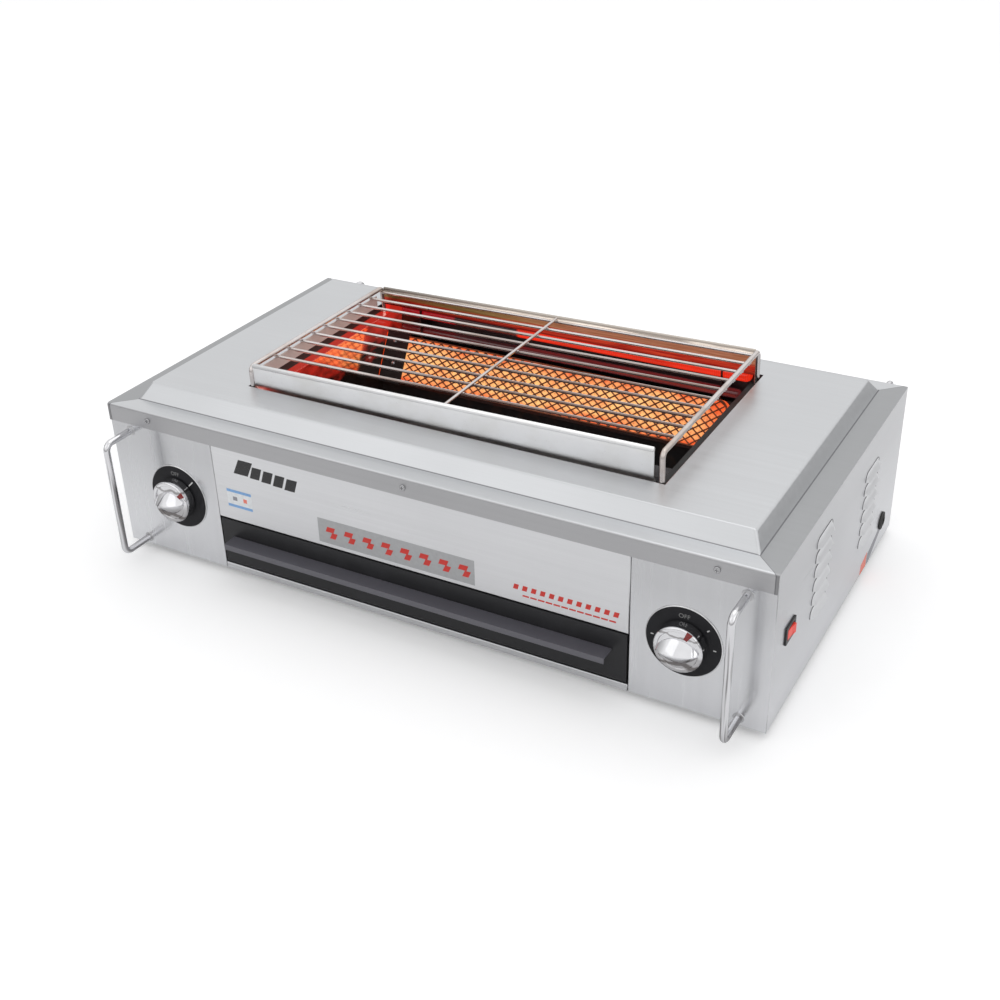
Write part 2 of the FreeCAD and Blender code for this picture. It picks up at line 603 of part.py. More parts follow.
def reflector():
    """Polished sheet behind the tubes, with two holed plates that carry them."""
    foot_y, top_y = REFLECTOR_FOOT_Y, REFLECTOR_TOP_Y
    foot_z, top_z = REFLECTOR_FOOT_Z, REFLECTOR_TOP_Z
    sheet = prism_x([(foot_y, foot_z), (top_y, top_z), (top_y + SHEET, top_z), (foot_y + SHEET, foot_z)],
                    -BULKHEAD_X, BULKHEAD_X)
    tubes = [(UPPER_TUBE_Y, UPPER_TUBE_Z, UPPER_TUBE_RADIUS + TUBE_HOLE_GAP),
             (LOWER_TUBE_Y, LOWER_TUBE_Z, LOWER_TUBE_RADIUS + TUBE_HOLE_GAP)]
    low = LOWER_TUBE_Z - LOWER_TUBE_RADIUS - HOLDER_RIM
    high = UPPER_TUBE_Z + UPPER_TUBE_RADIUS + HOLDER_RIM
    outline = [(LOWER_TUBE_Y - LOWER_TUBE_RADIUS - HOLDER_RIM, low),
               (UPPER_TUBE_Y - UPPER_TUBE_RADIUS - HOLDER_RIM, high),
               inside_reflector(high), inside_reflector(low)]
    notch = slope_slab(-BULKHEAD_X, BULKHEAD_X, 0.0, PANEL_LENGTH + HOLDER_NOTCH,
                       -PANEL_THICK - SHEET - HOLDER_NOTCH, HOLDER_NOTCH)
    holders = []
    for x in HOLDER_X:
        plate = prism_x(outline, x, x + HOLDER_THICK)
        holes = [cylinder(r, (x - 1, y, z), (1, 0, 0), HOLDER_THICK + 2) for y, z, r in tubes]
        holders.append(plate.cut(Part.makeCompound(holes + [notch])))
    return fused([sheet] + holders)


# ---- controls --------------------------------------------------------------------
def dial_plate():
    """Right-hand round dial plate."""
    plate = cylinder(DIAL_RADIUS, (DIAL_X, FRONT - DIAL_THICK, DIAL_Z), (0, 1, 0), DIAL_THICK)
    hole = cylinder(SHAFT_RADIUS + SHAFT_CLEAR, (DIAL_X, FRONT - 2 * DIAL_THICK, DIAL_Z), (0, 1, 0),
                    4 * DIAL_THICK)
    return plate.cut(hole)


def regulator():
    """Energy regulator behind the right-hand panel, with a bush for the shaft."""
    half = REGULATOR_SIZE / 2
    case = block(DIAL_X - half, DIAL_X + half, FRONT_INNER, FRONT_INNER + REGULATOR_DEPTH,
                 DIAL_Z - half, DIAL_Z + half)
    bore = cylinder(SHAFT_RADIUS + SHAFT_FIT, (DIAL_X, FRONT, DIAL_Z), (0, 1, 0), SHAFT_LENGTH)
    return case.cut(bore)


def knob_shaft():
    """Shaft from the knob through the panel into the regulator."""
    return cylinder(SHAFT_RADIUS, (DIAL_X, KNOB_BACK - SHAFT_IN_KNOB, DIAL_Z), (0, 1, 0), SHAFT_LENGTH)


def grip_ring(y, half_width, shares):
    """Six-sided outline of the grip at one depth, pointed at both ends.

    The four shares of the grip's half length give the upper tip, the upper and
    lower shoulders and the lower tip.
    """
    tip, shoulder, heel, toe = [share * GRIP_HALF_LENGTH for share in shares]
    ring = [V(-half_width, y, -heel), V(0, y, -toe), V(half_width, y, -heel),
            V(half_width, y, shoulder), V(0, y, tip), V(-half_width, y, shoulder)]
    return Part.makePolygon(ring + ring[:1])


def knob(mark_turn, grip_turn):
    """Chromed knob: round skirt with a notched mark, and a roof-shaped grip across it."""
    skirt_face = KNOB_BACK - KNOB_BASE
    skirt = cylinder(KNOB_RADIUS, (DIAL_X, skirt_face, DIAL_Z), (0, 1, 0), KNOB_BASE)
    rim = [e for e in skirt.Edges if e.CenterOfMass.y < KNOB_BACK - 1 and len(e.Vertexes) == 1]
    skirt = skirt.makeFillet(KNOB_ROUND, rim)
    foot_ring = grip_ring(skirt_face + 1, GRIP_HALF_WIDTH, (1.0, 0.55, 0.55, 1.0))
    ridge_ring = grip_ring(skirt_face - KNOB_GRIP, RIDGE_HALF_WIDTH, (0.7, 0.6, 0.6, 0.7))
    grip = Part.makeLoft([foot_ring, ridge_ring], True, True)
    grip.translate(V(DIAL_X, 0, DIAL_Z))
    grip.rotate(V(DIAL_X, 0, DIAL_Z), V(0, 1, 0), grip_turn)
    bore = cylinder(SHAFT_RADIUS, (DIAL_X, KNOB_BACK - SHAFT_IN_KNOB, DIAL_Z), (0, 1, 0), 2 * SHAFT_IN_KNOB)
    rim_z = DIAL_Z + KNOB_RADIUS
    notch = block(DIAL_X - MARK_WIDTH / 2, DIAL_X + MARK_WIDTH / 2, skirt_face - MARK_DEPTH,
                  skirt_face + MARK_DEPTH, rim_z - MARK_LENGTH, rim_z + MARK_DEPTH)
    notch.rotate(V(DIAL_X, 0, DIAL_Z), V(0, 1, 0), mark_turn)
    return skirt.fuse(grip).cut(Part.makeCompound([bore, notch]))


def switch_housing():
    """Black frame of the rocker switch, through the side panel."""
    y_half, z_half = SWITCH_LONG / 2, SWITCH_TALL / 2
    bezel = block(HALF_W, HALF_W + SWITCH_BEZEL, SWITCH_Y - y_half, SWITCH_Y + y_half,
                  SWITCH_Z - z_half, SWITCH_Z + z_half)
    case_y, case_z = y_half - SWITCH_WALL, z_half - SWITCH_WALL
    case = block(HALF_W - SWITCH_BODY, HALF_W, SWITCH_Y - case_y, SWITCH_Y + case_y,
                 SWITCH_Z - case_z, SWITCH_Z + case_z)
    wall = SWITCH_WALL + SWITCH_RIM
    well = block(HALF_W - ROCKER_THICK, HALF_W + 2 * SWITCH_BEZEL, SWITCH_Y - y_half + wall,
                 SWITCH_Y + y_half - wall, SWITCH_Z - z_half + wall, SWITCH_Z + z_half - wall)
    return bezel.fuse(case).cut(well)


def rocker():
    """Red rocker, a shallow V that stands on its pivot, tipped to off."""
    wall = SWITCH_WALL + SWITCH_RIM
    y_half = SWITCH_LONG / 2 - wall - ROCKER_GAP
    z_half = SWITCH_TALL / 2 - wall - ROCKER_GAP
    proud = HALF_W + SWITCH_BEZEL + ROCKER_PROUD
    back = HALF_W - ROCKER_THICK + ROCKER_GAP
    waist = y_half * math.sin(math.radians(ROCKER_TILT)) * 0.55
    face = y_half - ROCKER_ROUND
    shoulder = y_half - 1.5 * ROCKER_ROUND
    below = HALF_W - ROCKER_HEEL
    outline = [(proud - waist, -face), (proud - 1.8 * waist, 0.0), (proud - waist, face),
               (below, shoulder), (back, ROCKER_HEEL), (back, -ROCKER_HEEL), (below, -shoulder)]
    ring = [V(x, SWITCH_Y + y, SWITCH_Z - z_half) for x, y in outline]
    body = Part.Face(Part.makePolygon(ring + ring[:1])).extrude(V(0, 0, 2 * z_half))
    body.rotate(V(ROCKER_PIVOT_X, SWITCH_Y, 0), V(0, 0, 1), -ROCKER_TILT)
    return body


def cable_gland():
    """Black bushing in the side panel for the supply lead."""
    flange = cylinder(GLAND_RADIUS, (HALF_W, GLAND_Y, GLAND_Z), (1, 0, 0), GLAND_FLANGE)
    shoulder = GLAND_RADIUS - GLAND_SHOULDER
    nose = Part.makeCone(shoulder, shoulder - GLAND_TAPER, GLAND_NOSE,
                         V(HALF_W + GLAND_FLANGE, GLAND_Y, GLAND_Z), V(1, 0, 0))
    neck = cylinder(GLAND_NECK, (HALF_W - SHEET, GLAND_Y, GLAND_Z), (1, 0, 0), SHEET)
    inner = HALF_W - SHEET - GLAND_NUT
    nut = hexagon_x(GLAND_RADIUS, GLAND_Y, GLAND_Z, inner, HALF_W - SHEET)
    bore = cylinder(GLAND_BORE, (inner, GLAND_Y, GLAND_Z), (1, 0, 0), HALF_W + GLAND_RADIUS - inner)
    return flange.multiFuse([nose, neck, nut]).cut(bore)


def terminal_block():
    """Supply terminals on the base pan behind the gland."""
    across, along, tall = TERMINAL_SIZE
    body = block(TERMINAL_X, TERMINAL_X + across, TERMINAL_Y, TERMINAL_Y + along, PAN_TOP, PAN_TOP + tall)
    cuts = []
    for quarter in (1, 2, 3):
        middle = TERMINAL_Y + along * quarter / 4
        cuts.append(block(TERMINAL_X, TERMINAL_X + across, middle - TERMINAL_SLOT / 2,
                          middle + TERMINAL_SLOT / 2, PAN_TOP + tall * 0.6, PAN_TOP + tall))
    return body.cut(Part.makeCompound(cuts))


def handle(rear):
    """Right-hand wire handle, on the front face or on the back."""
    side = 1 if rear else -1
    lift = REAR_HANDLE_LIFT if rear else 0.0
    face = side * HALF_D
    out = face + side * HANDLE_REACH
    low = HANDLE_LOW + lift
    high = HANDLE_HIGH + lift
    route = [(HANDLE_X, face, low), (HANDLE_X, out, low), (HANDLE_X, out, high), (HANDLE_X, face, high)]
    return bent_wire(route, HANDLE_RADIUS, HANDLE_BEND)


# ---- drawer -----------------------------------------------------------------------
def drawer_rail():
    """Right-hand rail: foot, web and the ledge that carries the tray's rim."""
    inner = RAIL_WEB - TRAY_RIM_WIDTH
    ledge_top = TRAY_RIM - TRAY_WALL - RUNNER_GAP
    web = block(RAIL_WEB, RAIL_WEB + SHEET, RAIL_FRONT, RAIL_BACK, PAN_TOP, ledge_top)
    ledge = block(inner, RAIL_WEB, RAIL_FRONT, RAIL_BACK, ledge_top - SHEET, ledge_top)
    foot_strip = block(inner, RAIL_WEB, RAIL_FRONT, RAIL_BACK, PAN_TOP, PAN_TOP + SHEET)
    return fused([web, ledge, foot_strip])


def drawer_tray():
    """Open water tray whose rim rides on the rails."""
    front = FRONT + DRAWER_FRONT_DEPTH
    outer = block(-TRAY_HALF_WIDTH, TRAY_HALF_WIDTH, front, TRAY_BACK, TRAY_FLOOR, TRAY_RIM)
    inner = block(-TRAY_HALF_WIDTH + TRAY_WALL, TRAY_HALF_WIDTH - TRAY_WALL, front + TRAY_WALL,
                  TRAY_BACK - TRAY_WALL, TRAY_FLOOR + TRAY_WALL, TRAY_RIM + 1)
    rims = [block(s * TRAY_HALF_WIDTH - (TRAY_RIM_WIDTH if s < 0 else 0),
                  s * TRAY_HALF_WIDTH + (TRAY_RIM_WIDTH if s > 0 else 0),
                  RAIL_FRONT, TRAY_BACK, TRAY_RIM - TRAY_WALL, TRAY_RIM) for s in (-1, 1)]
    return fused([outer] + rims).cut(inner)


def drawer_half():
    """Half width of the drawer front."""
    return OPENING_HALF - DRAWER_GAP


def drawer_front():
    """Black panel that closes the drawer bay."""
    half = drawer_half()
    panel = block(-half, half, FRONT, FRONT + DRAWER_FRONT_DEPTH, RAIL_TOP + DRAWER_GAP,
                  APRON_FOOT - DRAWER_GAP)
    rim = [e for e in panel.Edges if e.CenterOfMass.y < FRONT + 0.01]
    return panel.makeChamfer(DRAWER_CHAMFER, rim)


def drawer_pull():
    """Shelf-shaped pull with a turned-down lip."""
    half = drawer_half() - PULL_MARGIN
    shelf = block(-half, half, FRONT - PULL_REACH, FRONT, PULL_HEIGHT - PULL_SHEET, PULL_HEIGHT)
    lip = block(-half, half, FRONT - PULL_REACH, FRONT - PULL_REACH + PULL_SHEET,
                PULL_HEIGHT - PULL_LIP, PULL_HEIGHT)
    return fused([shelf, lip])


# ---- rack ---------------------------------------------------------------------------
def tilted(shape):
    """Lean the rack so that its right end stands higher."""
    shape.rotate(V(RACK_LEFT, 0, RACK_HEIGHT), V(0, 1, 0), -RACK_TILT)
    return shape


def levelled(height, x):
    """Height before the rack is tilted of a point at x that comes out at the given height."""
    return height - (x - RACK_LEFT) * math.tan(math.radians(RACK_TILT))


def end_wire(x):
    """End wire along the depth, bent down at both ends as legs."""
    foot_z = levelled(SEAT_TOP + SEAT_GAP, x)
    route = [(x, RACK_FRONT, foot_z), (x, RACK_FRONT, RACK_HEIGHT), (x, RACK_BACK, RACK_HEIGHT),
             (x, RACK_BACK, foot_z)]
    return bent_wire(route, RACK_END_RADIUS, RACK_BEND)


def rod_height():
    """Centre line of the lengthways rods, under the cross wires."""
    return RACK_HEIGHT - RACK_END_RADIUS - RACK_ROD_RADIUS + RACK_WELD


def rack_grid():
    """Welded rack: two legged end wires, a middle wire and the lengthways rods."""
    left = RACK_LEFT + RACK_END_RADIUS
    right = RACK_RIGHT - RACK_END_RADIUS
    pieces = [end_wire(left), end_wire(right)]
    middle = (left + right) / 2
    start = RACK_FRONT + FRONT_BEAD
    pieces.append(cylinder(RACK_ROD_RADIUS, (middle, start, RACK_HEIGHT - RACK_END_RADIUS + RACK_ROD_RADIUS),
                           (0, 1, 0), RACK_BACK - BACK_BEAD - start))
    first = RACK_FRONT + ROD_FRONT_GAP
    last = RACK_BACK - ROD_BACK_GAP
    step = (last - first) / (RACK_RODS - 1)
    for index in range(RACK_RODS):
        pieces.append(cylinder(RACK_ROD_RADIUS, (left, first + index * step, rod_height()), (1, 0, 0),
                               right - left))
    return tilted(pieces[0].multiFuse(pieces[1:]))


def beaded_strip(y, bead, right, top, low):
    """Upright strip on a plane across the rack, rolled along its upper edge, with a level foot."""
    left = RACK_LEFT + 2 * RACK_END_RADIUS
    sheet = prism_y([(left, low), (left, top), (right, top), (right, levelled(low, right))],
                    y - STRIP_THICK / 2, y + STRIP_THICK / 2)
    roll = cylinder(bead, (left, y, top), (1, 0, 0), right - left)
    return tilted(fused([sheet, roll]))


def rack_strip_front():
    """Front strip, whose foot stays behind the deck's edge."""
    right = RACK_RIGHT - 2 * RACK_END_RADIUS - STRIP_END_GAP
    return beaded_strip(RACK_FRONT, FRONT_BEAD, right, RACK_HEIGHT + STRIP_LIFT, SEAT_TOP + STRIP_FOOT_GAP)


def rack_strip_back():
    """Back strip between the rear legs, open beneath."""
    right = RACK_RIGHT - 2 * RACK_END_RADIUS
    return beaded_strip(RACK_BACK, BACK_BEAD, right, RACK_HEIGHT, RACK_HEIGHT - STRIP_DROP)


def rack_strip_left():
    """Upright strip under the rods' left ends."""
    x0 = RACK_LEFT + RACK_END_RADIUS - STRIP_THICK / 2
    strip = block(x0, x0 + STRIP_THICK, RACK_FRONT + 2 * RACK_BEND, RACK_BACK - 2 * RACK_BEND,
                  RACK_HEIGHT - STRIP_DROP, rod_height() - RACK_ROD_RADIUS)
    return tilted(strip)


# ---- assembly -------------------------------------------------------------------------
def pieces():
    """Every piece by its node name."""
    made = {
        "base_pan": base_pan(),
        "side_panel_left": mirrored(side_panel()),
        "side_panel_right": side_panel_right(),
        "rear_panel": rear_panel(),
        "front_apron": front_apron(),
        "bottom_rail": bottom_rail(),
        "top_cover": top_cover(),
        "liner_front": liner(True),
        "liner_rear": liner(False),
        "drip_shield": drip_shield(),
        "ceramic_panel": ceramic_panel(),
        "mesh_guard": mesh_guard(),
        "heater_strap": heater_strap(),
        "heater_channel": heater_channel(),
        "reflector": reflector(),
        "quartz_tube_upper": quartz_tube(UPPER_TUBE_Y, UPPER_TUBE_Z, UPPER_TUBE_RADIUS, UPPER_TUBE_RIGHT),
        "quartz_tube_lower": quartz_tube(LOWER_TUBE_Y, LOWER_TUBE_Z, LOWER_TUBE_RADIUS, LOWER_TUBE_RIGHT),
        "terminal_block": terminal_block(),
        "switch_housing": switch_housing(),
        "rocker": rocker(),
        "cable_gland": cable_gland(),
        "drawer_tray": drawer_tray(),
        "drawer_front": drawer_front(),
        "drawer_pull": drawer_pull(),
        "rack_grid": rack_grid(),
        "rack_strip_front": rack_strip_front(),
        "rack_strip_back": rack_strip_back(),
        "rack_strip_left": rack_strip_left(),
        "knob_right": knob(RIGHT_TURN, RIGHT_GRIP_TURN),
        "knob_left": mirrored(knob(-LEFT_TURN, -LEFT_GRIP_TURN)),
    }
    paired = {"control_panel": control_panel(), "bulkhead": bulkhead(), "rack_seat": rack_seat(),
              "drawer_rail": drawer_rail(), "dial_plate": dial_plate(), "regulator": regulator(),
              "knob_shaft": knob_shaft(), "handle_front": handle(False), "handle_rear": handle(True)}
    for name, shape in paired.items():
        made[name + "_right"] = shape
        made[name + "_left"] = mirrored(shape)
    for index, x in enumerate(screw_places(), 1):
        made["lip_screw_%d" % index] = lip_screw(x)
    foot_x = HALF_W - FOOT_INSET
    foot_y = HALF_D - FOOT_INSET
    for name, x, y in (("foot_front_left", -foot_x, -foot_y), ("foot_front_right", foot_x, -foot_y),
                       ("foot_rear_left", -foot_x, foot_y), ("foot_rear_right", foot_x, foot_y)):
        made[name] = foot(x, y)
    return made


def main():
    """Check each piece and write its STEP file."""
    os.makedirs("parts", exist_ok=True)
    for name, shape in sorted(pieces().items()):
        solids = len(shape.Solids)
        print("%-20s solids %d valid %s volume %.0f" % (name, solids, shape.isValid(), shape.Volume))
        shape.exportStep("parts/%s.step" % name)


main()
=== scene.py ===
"""Counter-top electric fish roaster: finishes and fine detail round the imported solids.

Metres, with +X to the right, +Y to the back and +Z up, as in the solids. Each
sub-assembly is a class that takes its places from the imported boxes, builds the
pieces that the solids leave plain, and dresses every solid that stays in view.
"""
import logging
import math
from dataclasses import dataclass, field
from enum import Enum
from typing import Callable, Iterable, Optional, Union

import bmesh
import bpy
from mathutils import Matrix, Vector


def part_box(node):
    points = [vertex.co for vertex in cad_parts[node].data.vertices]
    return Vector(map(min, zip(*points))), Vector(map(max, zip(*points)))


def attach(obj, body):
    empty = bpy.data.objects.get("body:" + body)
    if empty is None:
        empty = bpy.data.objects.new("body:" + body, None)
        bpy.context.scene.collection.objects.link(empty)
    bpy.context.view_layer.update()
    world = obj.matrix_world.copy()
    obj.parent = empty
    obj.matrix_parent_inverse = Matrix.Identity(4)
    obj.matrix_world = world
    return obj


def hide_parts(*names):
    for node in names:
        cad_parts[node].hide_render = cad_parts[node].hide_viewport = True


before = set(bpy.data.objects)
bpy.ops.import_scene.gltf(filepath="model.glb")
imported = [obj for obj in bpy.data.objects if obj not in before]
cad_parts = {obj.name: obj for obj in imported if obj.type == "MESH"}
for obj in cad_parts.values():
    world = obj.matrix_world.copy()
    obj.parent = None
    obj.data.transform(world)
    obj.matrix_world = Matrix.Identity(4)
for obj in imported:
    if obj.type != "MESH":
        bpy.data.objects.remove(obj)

MM = 0.001
WHITE = (1.0, 1.0, 1.0, 1.0)
DOUBLES = 1e-6                         # points nearer than this are one
RACK_TILT = math.radians(1.0)
RACK_HINGE = -260.5 * MM               # the rack tilts up from here towards +X
log = logging.getLogger("roaster")

Socket = bpy.types.NodeSocket
Value = Union[Socket, float, tuple]
Colour = tuple[float, float, float]
Point = tuple[float, float, float]
Span = tuple[float, float]
Mesh = bpy.types.Mesh
Shape = bmesh.types.BMesh
Outline = list[tuple[float, float]]
Slant = tuple[float, float, float, float, float]       # across, up, wide, tall and lean


class Axis(Enum):
    """A direction of the frame."""

    X = 0
    Y = 1
    Z = 2


class Side(Enum):
    """Left or right half of the roaster, with its sign along X."""

    LEFT = -1
    RIGHT = 1

    @property
    def word(self) -> str:
        """The side's name, as the nodes spell it."""
        return self.name.lower()


# ---- node trees -----------------------------------------------------------------
class Tree:
    """A node tree, with short calls that add and link its nodes."""

    def __init__(self, tree: bpy.types.NodeTree) -> None:
        """Work on a tree."""
        self.tree = tree

    def feed(self, node: bpy.types.Node, inputs: dict) -> None:
        """Set or link a node's inputs.

        Args:
            node: The node to feed.
            inputs: Input name or index to a value or a socket.
        """
        for key, value in inputs.items():
            if isinstance(value, Socket):
                self.tree.links.new(value, node.inputs[key])
            else:
                node.inputs[key].default_value = value

    def add(self, kind: str, inputs: dict, output: Union[int, str] = 0, **settings: object) -> Socket:
        """Add a node.

        Args:
            kind: The node's type.
            inputs: Input name or index to a value or a socket.
            output: Which output to give back.
            **settings: Properties of the node itself.

        Returns:
            The chosen output socket.
        """
        node = self.tree.nodes.new(kind)
        for key, value in settings.items():
            setattr(node, key, value)
        self.feed(node, inputs)
        return node.outputs[output]

    def maths(self, operation: str, first: Value, second: Value = 0.0, third: Value = 0.0) -> Socket:
        """One arithmetic step on numbers."""
        return self.add("ShaderNodeMath", {0: first, 1: second, 2: third}, operation=operation)

    def plus(self, first: Value, second: Value) -> Socket:
        """Sum of two numbers."""
        return self.maths("ADD", first, second)

    def minus(self, first: Value, second: Value) -> Socket:
        """Difference of two numbers."""
        return self.maths("SUBTRACT", first, second)

    def times(self, first: Value, second: Value) -> Socket:
        """Product of two numbers."""
        return self.maths("MULTIPLY", first, second)

    def most(self, first: Value, second: Value) -> Socket:
        """The greater of two numbers."""
        return self.maths("MAXIMUM", first, second)

    def least(self, first: Value, second: Value) -> Socket:
        """The smaller of two numbers."""
        return self.maths("MINIMUM", first, second)

    def unsigned(self, value: Value) -> Socket:
        """A number without its sign."""
        return self.maths("ABSOLUTE", value)

    def parts(self, vector: Socket) -> list[Socket]:
        """The three numbers of a vector.

        Args:
            vector: The vector to take apart.

        Returns:
            Its X, Y and Z.
        """
        node = self.tree.nodes.new("ShaderNodeSeparateXYZ")
        self.tree.links.new(vector, node.inputs[0])
        return list(node.outputs)

    def spread(self, value: Socket, low: float, high: float, start: float = 0.3,
               end: float = 0.7) -> Socket:
        """Stretch a number from start..end to low..high, held at both ends."""
        inputs = {"Value": value, "From Min": start, "From Max": end, "To Min": low, "To Max": high}
        return self.add("ShaderNodeMapRange", inputs)


class Shader(Tree):
    """One material's node tree, with short calls for what the finishes share."""

    def __init__(self, name: str) -> None:
        """Start a material with a Principled shader on its output.

        Args:
            name: The material's name.
        """
        self.material = bpy.data.materials.new(name)
        self.material.use_nodes = True
        super().__init__(self.material.node_tree)
        self.tree.nodes.clear()
        self.surface = self.tree.nodes.new("ShaderNodeBsdfPrincipled")
        output = self.tree.nodes.new("ShaderNodeOutputMaterial")
        self.tree.links.new(self.surface.outputs["BSDF"], output.inputs["Surface"])

    @property
    def base(self) -> Socket:
        """What the surface's colour is linked to so far."""
        return self.surface.inputs["Base Color"].links[0].from_socket

    def paint(self, **inputs: Value) -> None:
        """Set inputs of the surface shader; an underscore in a name stands for a space."""
        self.feed(self.surface, {key.replace("_", " "): value for key, value in inputs.items()})

    def place(self, scale: Point = (1, 1, 1), shift: Point = (0, 0, 0)) -> Socket:
        """Object coordinates, scaled and then moved."""
        where = self.add("ShaderNodeTexCoord", {}, "Object")
        return self.add("ShaderNodeMapping", {"Vector": where, "Location": shift, "Scale": scale})

    def noise(self, scale: Point, detail: float = 3.0, rough: float = 0.5,
              shift: Point = (0, 0, 0)) -> Socket:
        """Noise between 0 and 1, with its own scale along each axis."""
        inputs = {"Vector": self.place(scale, shift), "Scale": 1.0, "Detail": detail, "Roughness": rough}
        return self.add("ShaderNodeTexNoise", inputs)

    def cells(self, scale: float, output: str) -> Socket:
        """Distance to, or colour of, the nearest cell."""
        inputs = {"Vector": self.place((scale,) * 3), "Scale": 1.0}
        return self.add("ShaderNodeTexVoronoi", inputs, output, feature="F1")

    def mix(self, factor: Value, first: Value, second: Value) -> Socket:
        """Blend of two colours."""
        first, second = [v if isinstance(v, Socket) else (*v, 1.0) for v in (first, second)]
        return self.add("ShaderNodeMix", {0: factor, 6: first, 7: second}, 2, data_type="RGBA")

    def dimmed(self, colour: Socket, share: Socket) -> Socket:
        """A colour times a share."""
        return self.add("ShaderNodeVectorMath", {0: colour, "Scale": share}, operation="SCALE")

    def rack_rise(self, across: Socket) -> Socket:
        """How far the rack's tilt lifts what is at a place along X."""
        return self.times(self.minus(across, RACK_HINGE), math.tan(RACK_TILT))

    def bump(self, height: Socket, depth: float, strength: float = 1.0) -> None:
        """Raise the surface by a height of 0 to 1 times a depth in metres."""
        inputs = {"Height": height, "Distance": depth, "Strength": strength}
        self.paint(Normal=self.add("ShaderNodeBump", inputs))


# ---- finishes -------------------------------------------------------------------
def toned(colour: Colour, factor: float, lift: float = 0.0) -> Colour:
    """A colour made paler or darker, no brighter than white."""
    return tuple(min(1.0, channel * factor + lift) for channel in colour)


@dataclass(frozen=True)
class Finish:
    """A named surface; subclasses say how it is made."""

    name: str

    def make(self, shader: Shader) -> None:
        """Fill the shader of a new material."""
        raise NotImplementedError

    @property
    def material(self) -> bpy.types.Material:
        """The finish's material, made on first use.

        Returns:
            The material.
        """
        known = bpy.data.materials.get(self.name)
        if known:
            return known
        shader = Shader(self.name)
        self.make(shader)
        return shader.material


@dataclass(frozen=True)
class BrushedSteel(Finish):
    """Stainless sheet with a fine directional grain and slow clouding, and a painted reflection that can
    make it paler towards its foot.
    """

    colour: Colour = (0.62, 0.63, 0.645)
    grain: Axis = Axis.X
    rough: float = 0.30
    streak: float = 0.05
    # painted reflection of the floor: the tone is raised by up to this factor at the foot, fading out
    # between the heights foot and head
    painted_reflection_gain: float = 1.0
    foot: float = 0.03
    head: float = 0.15

    def along_grain(self, fine: float, long: float) -> Point:
        """Scale of a noise that is fine across the grain and long along it."""
        return tuple(long if axis is self.grain else fine for axis in Axis)

    def make(self, shader: Shader) -> None:
        """Long fine streaks along the grain in tone, gloss and height, with a painted reflection of the
        floor that makes it paler towards the foot.

        Args:
            shader: The material's nodes.
        """
        fine = shader.noise(self.along_grain(1400.0, 9.0), 4.0, 0.6)
        bands = shader.noise(self.along_grain(160.0, 2.5), 2.0)
        cloud = shader.noise((7.0, 7.0, 7.0), 2.0, shift=(3.1, 1.7, 0.4))
        lines = shader.maths("MULTIPLY_ADD", bands, 0.5, shader.times(fine, 0.5))
        dark = toned(self.colour, 1.0 - self.streak)
        pale = toned(self.colour, 1.0 + self.streak)
        tone = shader.mix(shader.spread(lines, 0.0, 1.0), dark, pale)
        tone = shader.mix(shader.spread(cloud, 0.0, 0.35), tone, dark)
        # painted reflection of the floor: paler towards the foot
        if self.painted_reflection_gain > 1.0:
            _, _, up = shader.parts(shader.place())
            painted_reflection = shader.spread(up, self.painted_reflection_gain, 1.0, self.foot, self.head)
            tone = shader.dimmed(tone, painted_reflection)
        gloss = shader.spread(lines, self.rough - 0.05, self.rough + 0.07)
        gloss = shader.plus(gloss, shader.spread(cloud, 0.0, 0.05))
        shader.paint(Base_Color=tone, Metallic=1.0, Roughness=gloss)
        shader.bump(fine, 0.03 * MM, 0.35)


@dataclass(frozen=True)
class CoverSteel(BrushedSteel):
    """Brushed sheet of the cover, with a painted shade line at the foot of its step and along its mitres,
    and painted shade on its side flanges.
    """

    step_x: float = 0.3825
    step_y: float = 0.200
    level: float = 0.195
    # share of tone left on the side flanges: painted shade
    flank_shade: float = 0.62

    def make(self, shader: Shader) -> None:
        """The brushed surface, then a painted shade line along the folds and painted shade on the side
        flanges.

        Args:
            shader: The material's nodes.
        """
        super().make(shader)
        base = shader.base
        across, along, up = shader.parts(shader.place())
        beyond_x = shader.minus(shader.unsigned(across), self.step_x)
        beyond_y = shader.minus(shader.unsigned(along), self.step_y)
        foot = shader.unsigned(shader.most(beyond_x, beyond_y))
        inside = shader.least(beyond_x, beyond_y)
        mitre = shader.unsigned(shader.minus(beyond_x, beyond_y))
        mitre = shader.most(mitre, shader.times(inside, -1.0))
        near = shader.least(foot, shader.plus(mitre, 0.15 * MM))
        # painted shade: a dark line along the foot of the step and along the mitres
        line = shader.spread(near, 1.0, 0.0, 0.35 * MM, 0.85 * MM)
        low = shader.spread(up, 1.0, 0.0, self.level + 0.9 * MM, self.level + 1.4 * MM)
        line = shader.times(shader.times(line, low), 0.75)
        # painted shade: the side flanges darker than the deck
        past = shader.least(beyond_x, shader.minus(beyond_x, beyond_y))
        side = shader.times(shader.spread(past, 0.0, 1.0, -0.1 * MM, 0.1 * MM), low)
        shade = shader.spread(side, 1.0, self.flank_shade, 0.0, 1.0)
        base = shader.dimmed(base, shade)
        shader.paint(Base_Color=shader.mix(line, base, (0.10, 0.10, 0.11)))


@dataclass(frozen=True)
class PolishedWall(BrushedSteel):
    """Polished end wall of the firebox with a painted reflection of the tubes' red glow in its upper part.
    """

    # colour and heights of the painted reflection of the tubes' glow
    glow: Colour = (0.55, 0.022, 0.012)
    dark_under: float = 0.150
    bright_over: float = 0.190

    def make(self, shader: Shader) -> None:
        """The polished sheet, then red patches of painted reflection, as emission, that grow towards the
        top.

        Args:
            shader: The material's nodes.
        """
        super().make(shader)
        _, _, up = shader.parts(shader.place())
        patch = shader.noise((40.0, 26.0, 60.0), 3.0, 0.6, shift=(0.2, 0.5, 0.9))
        reach = shader.plus(up, shader.spread(patch, -0.022, 0.022))
        painted_glow = shader.spread(reach, 0.0, 0.8, self.dark_under, self.bright_over)
        shader.paint(Emission_Color=(*self.glow, 1.0), Emission_Strength=painted_glow)


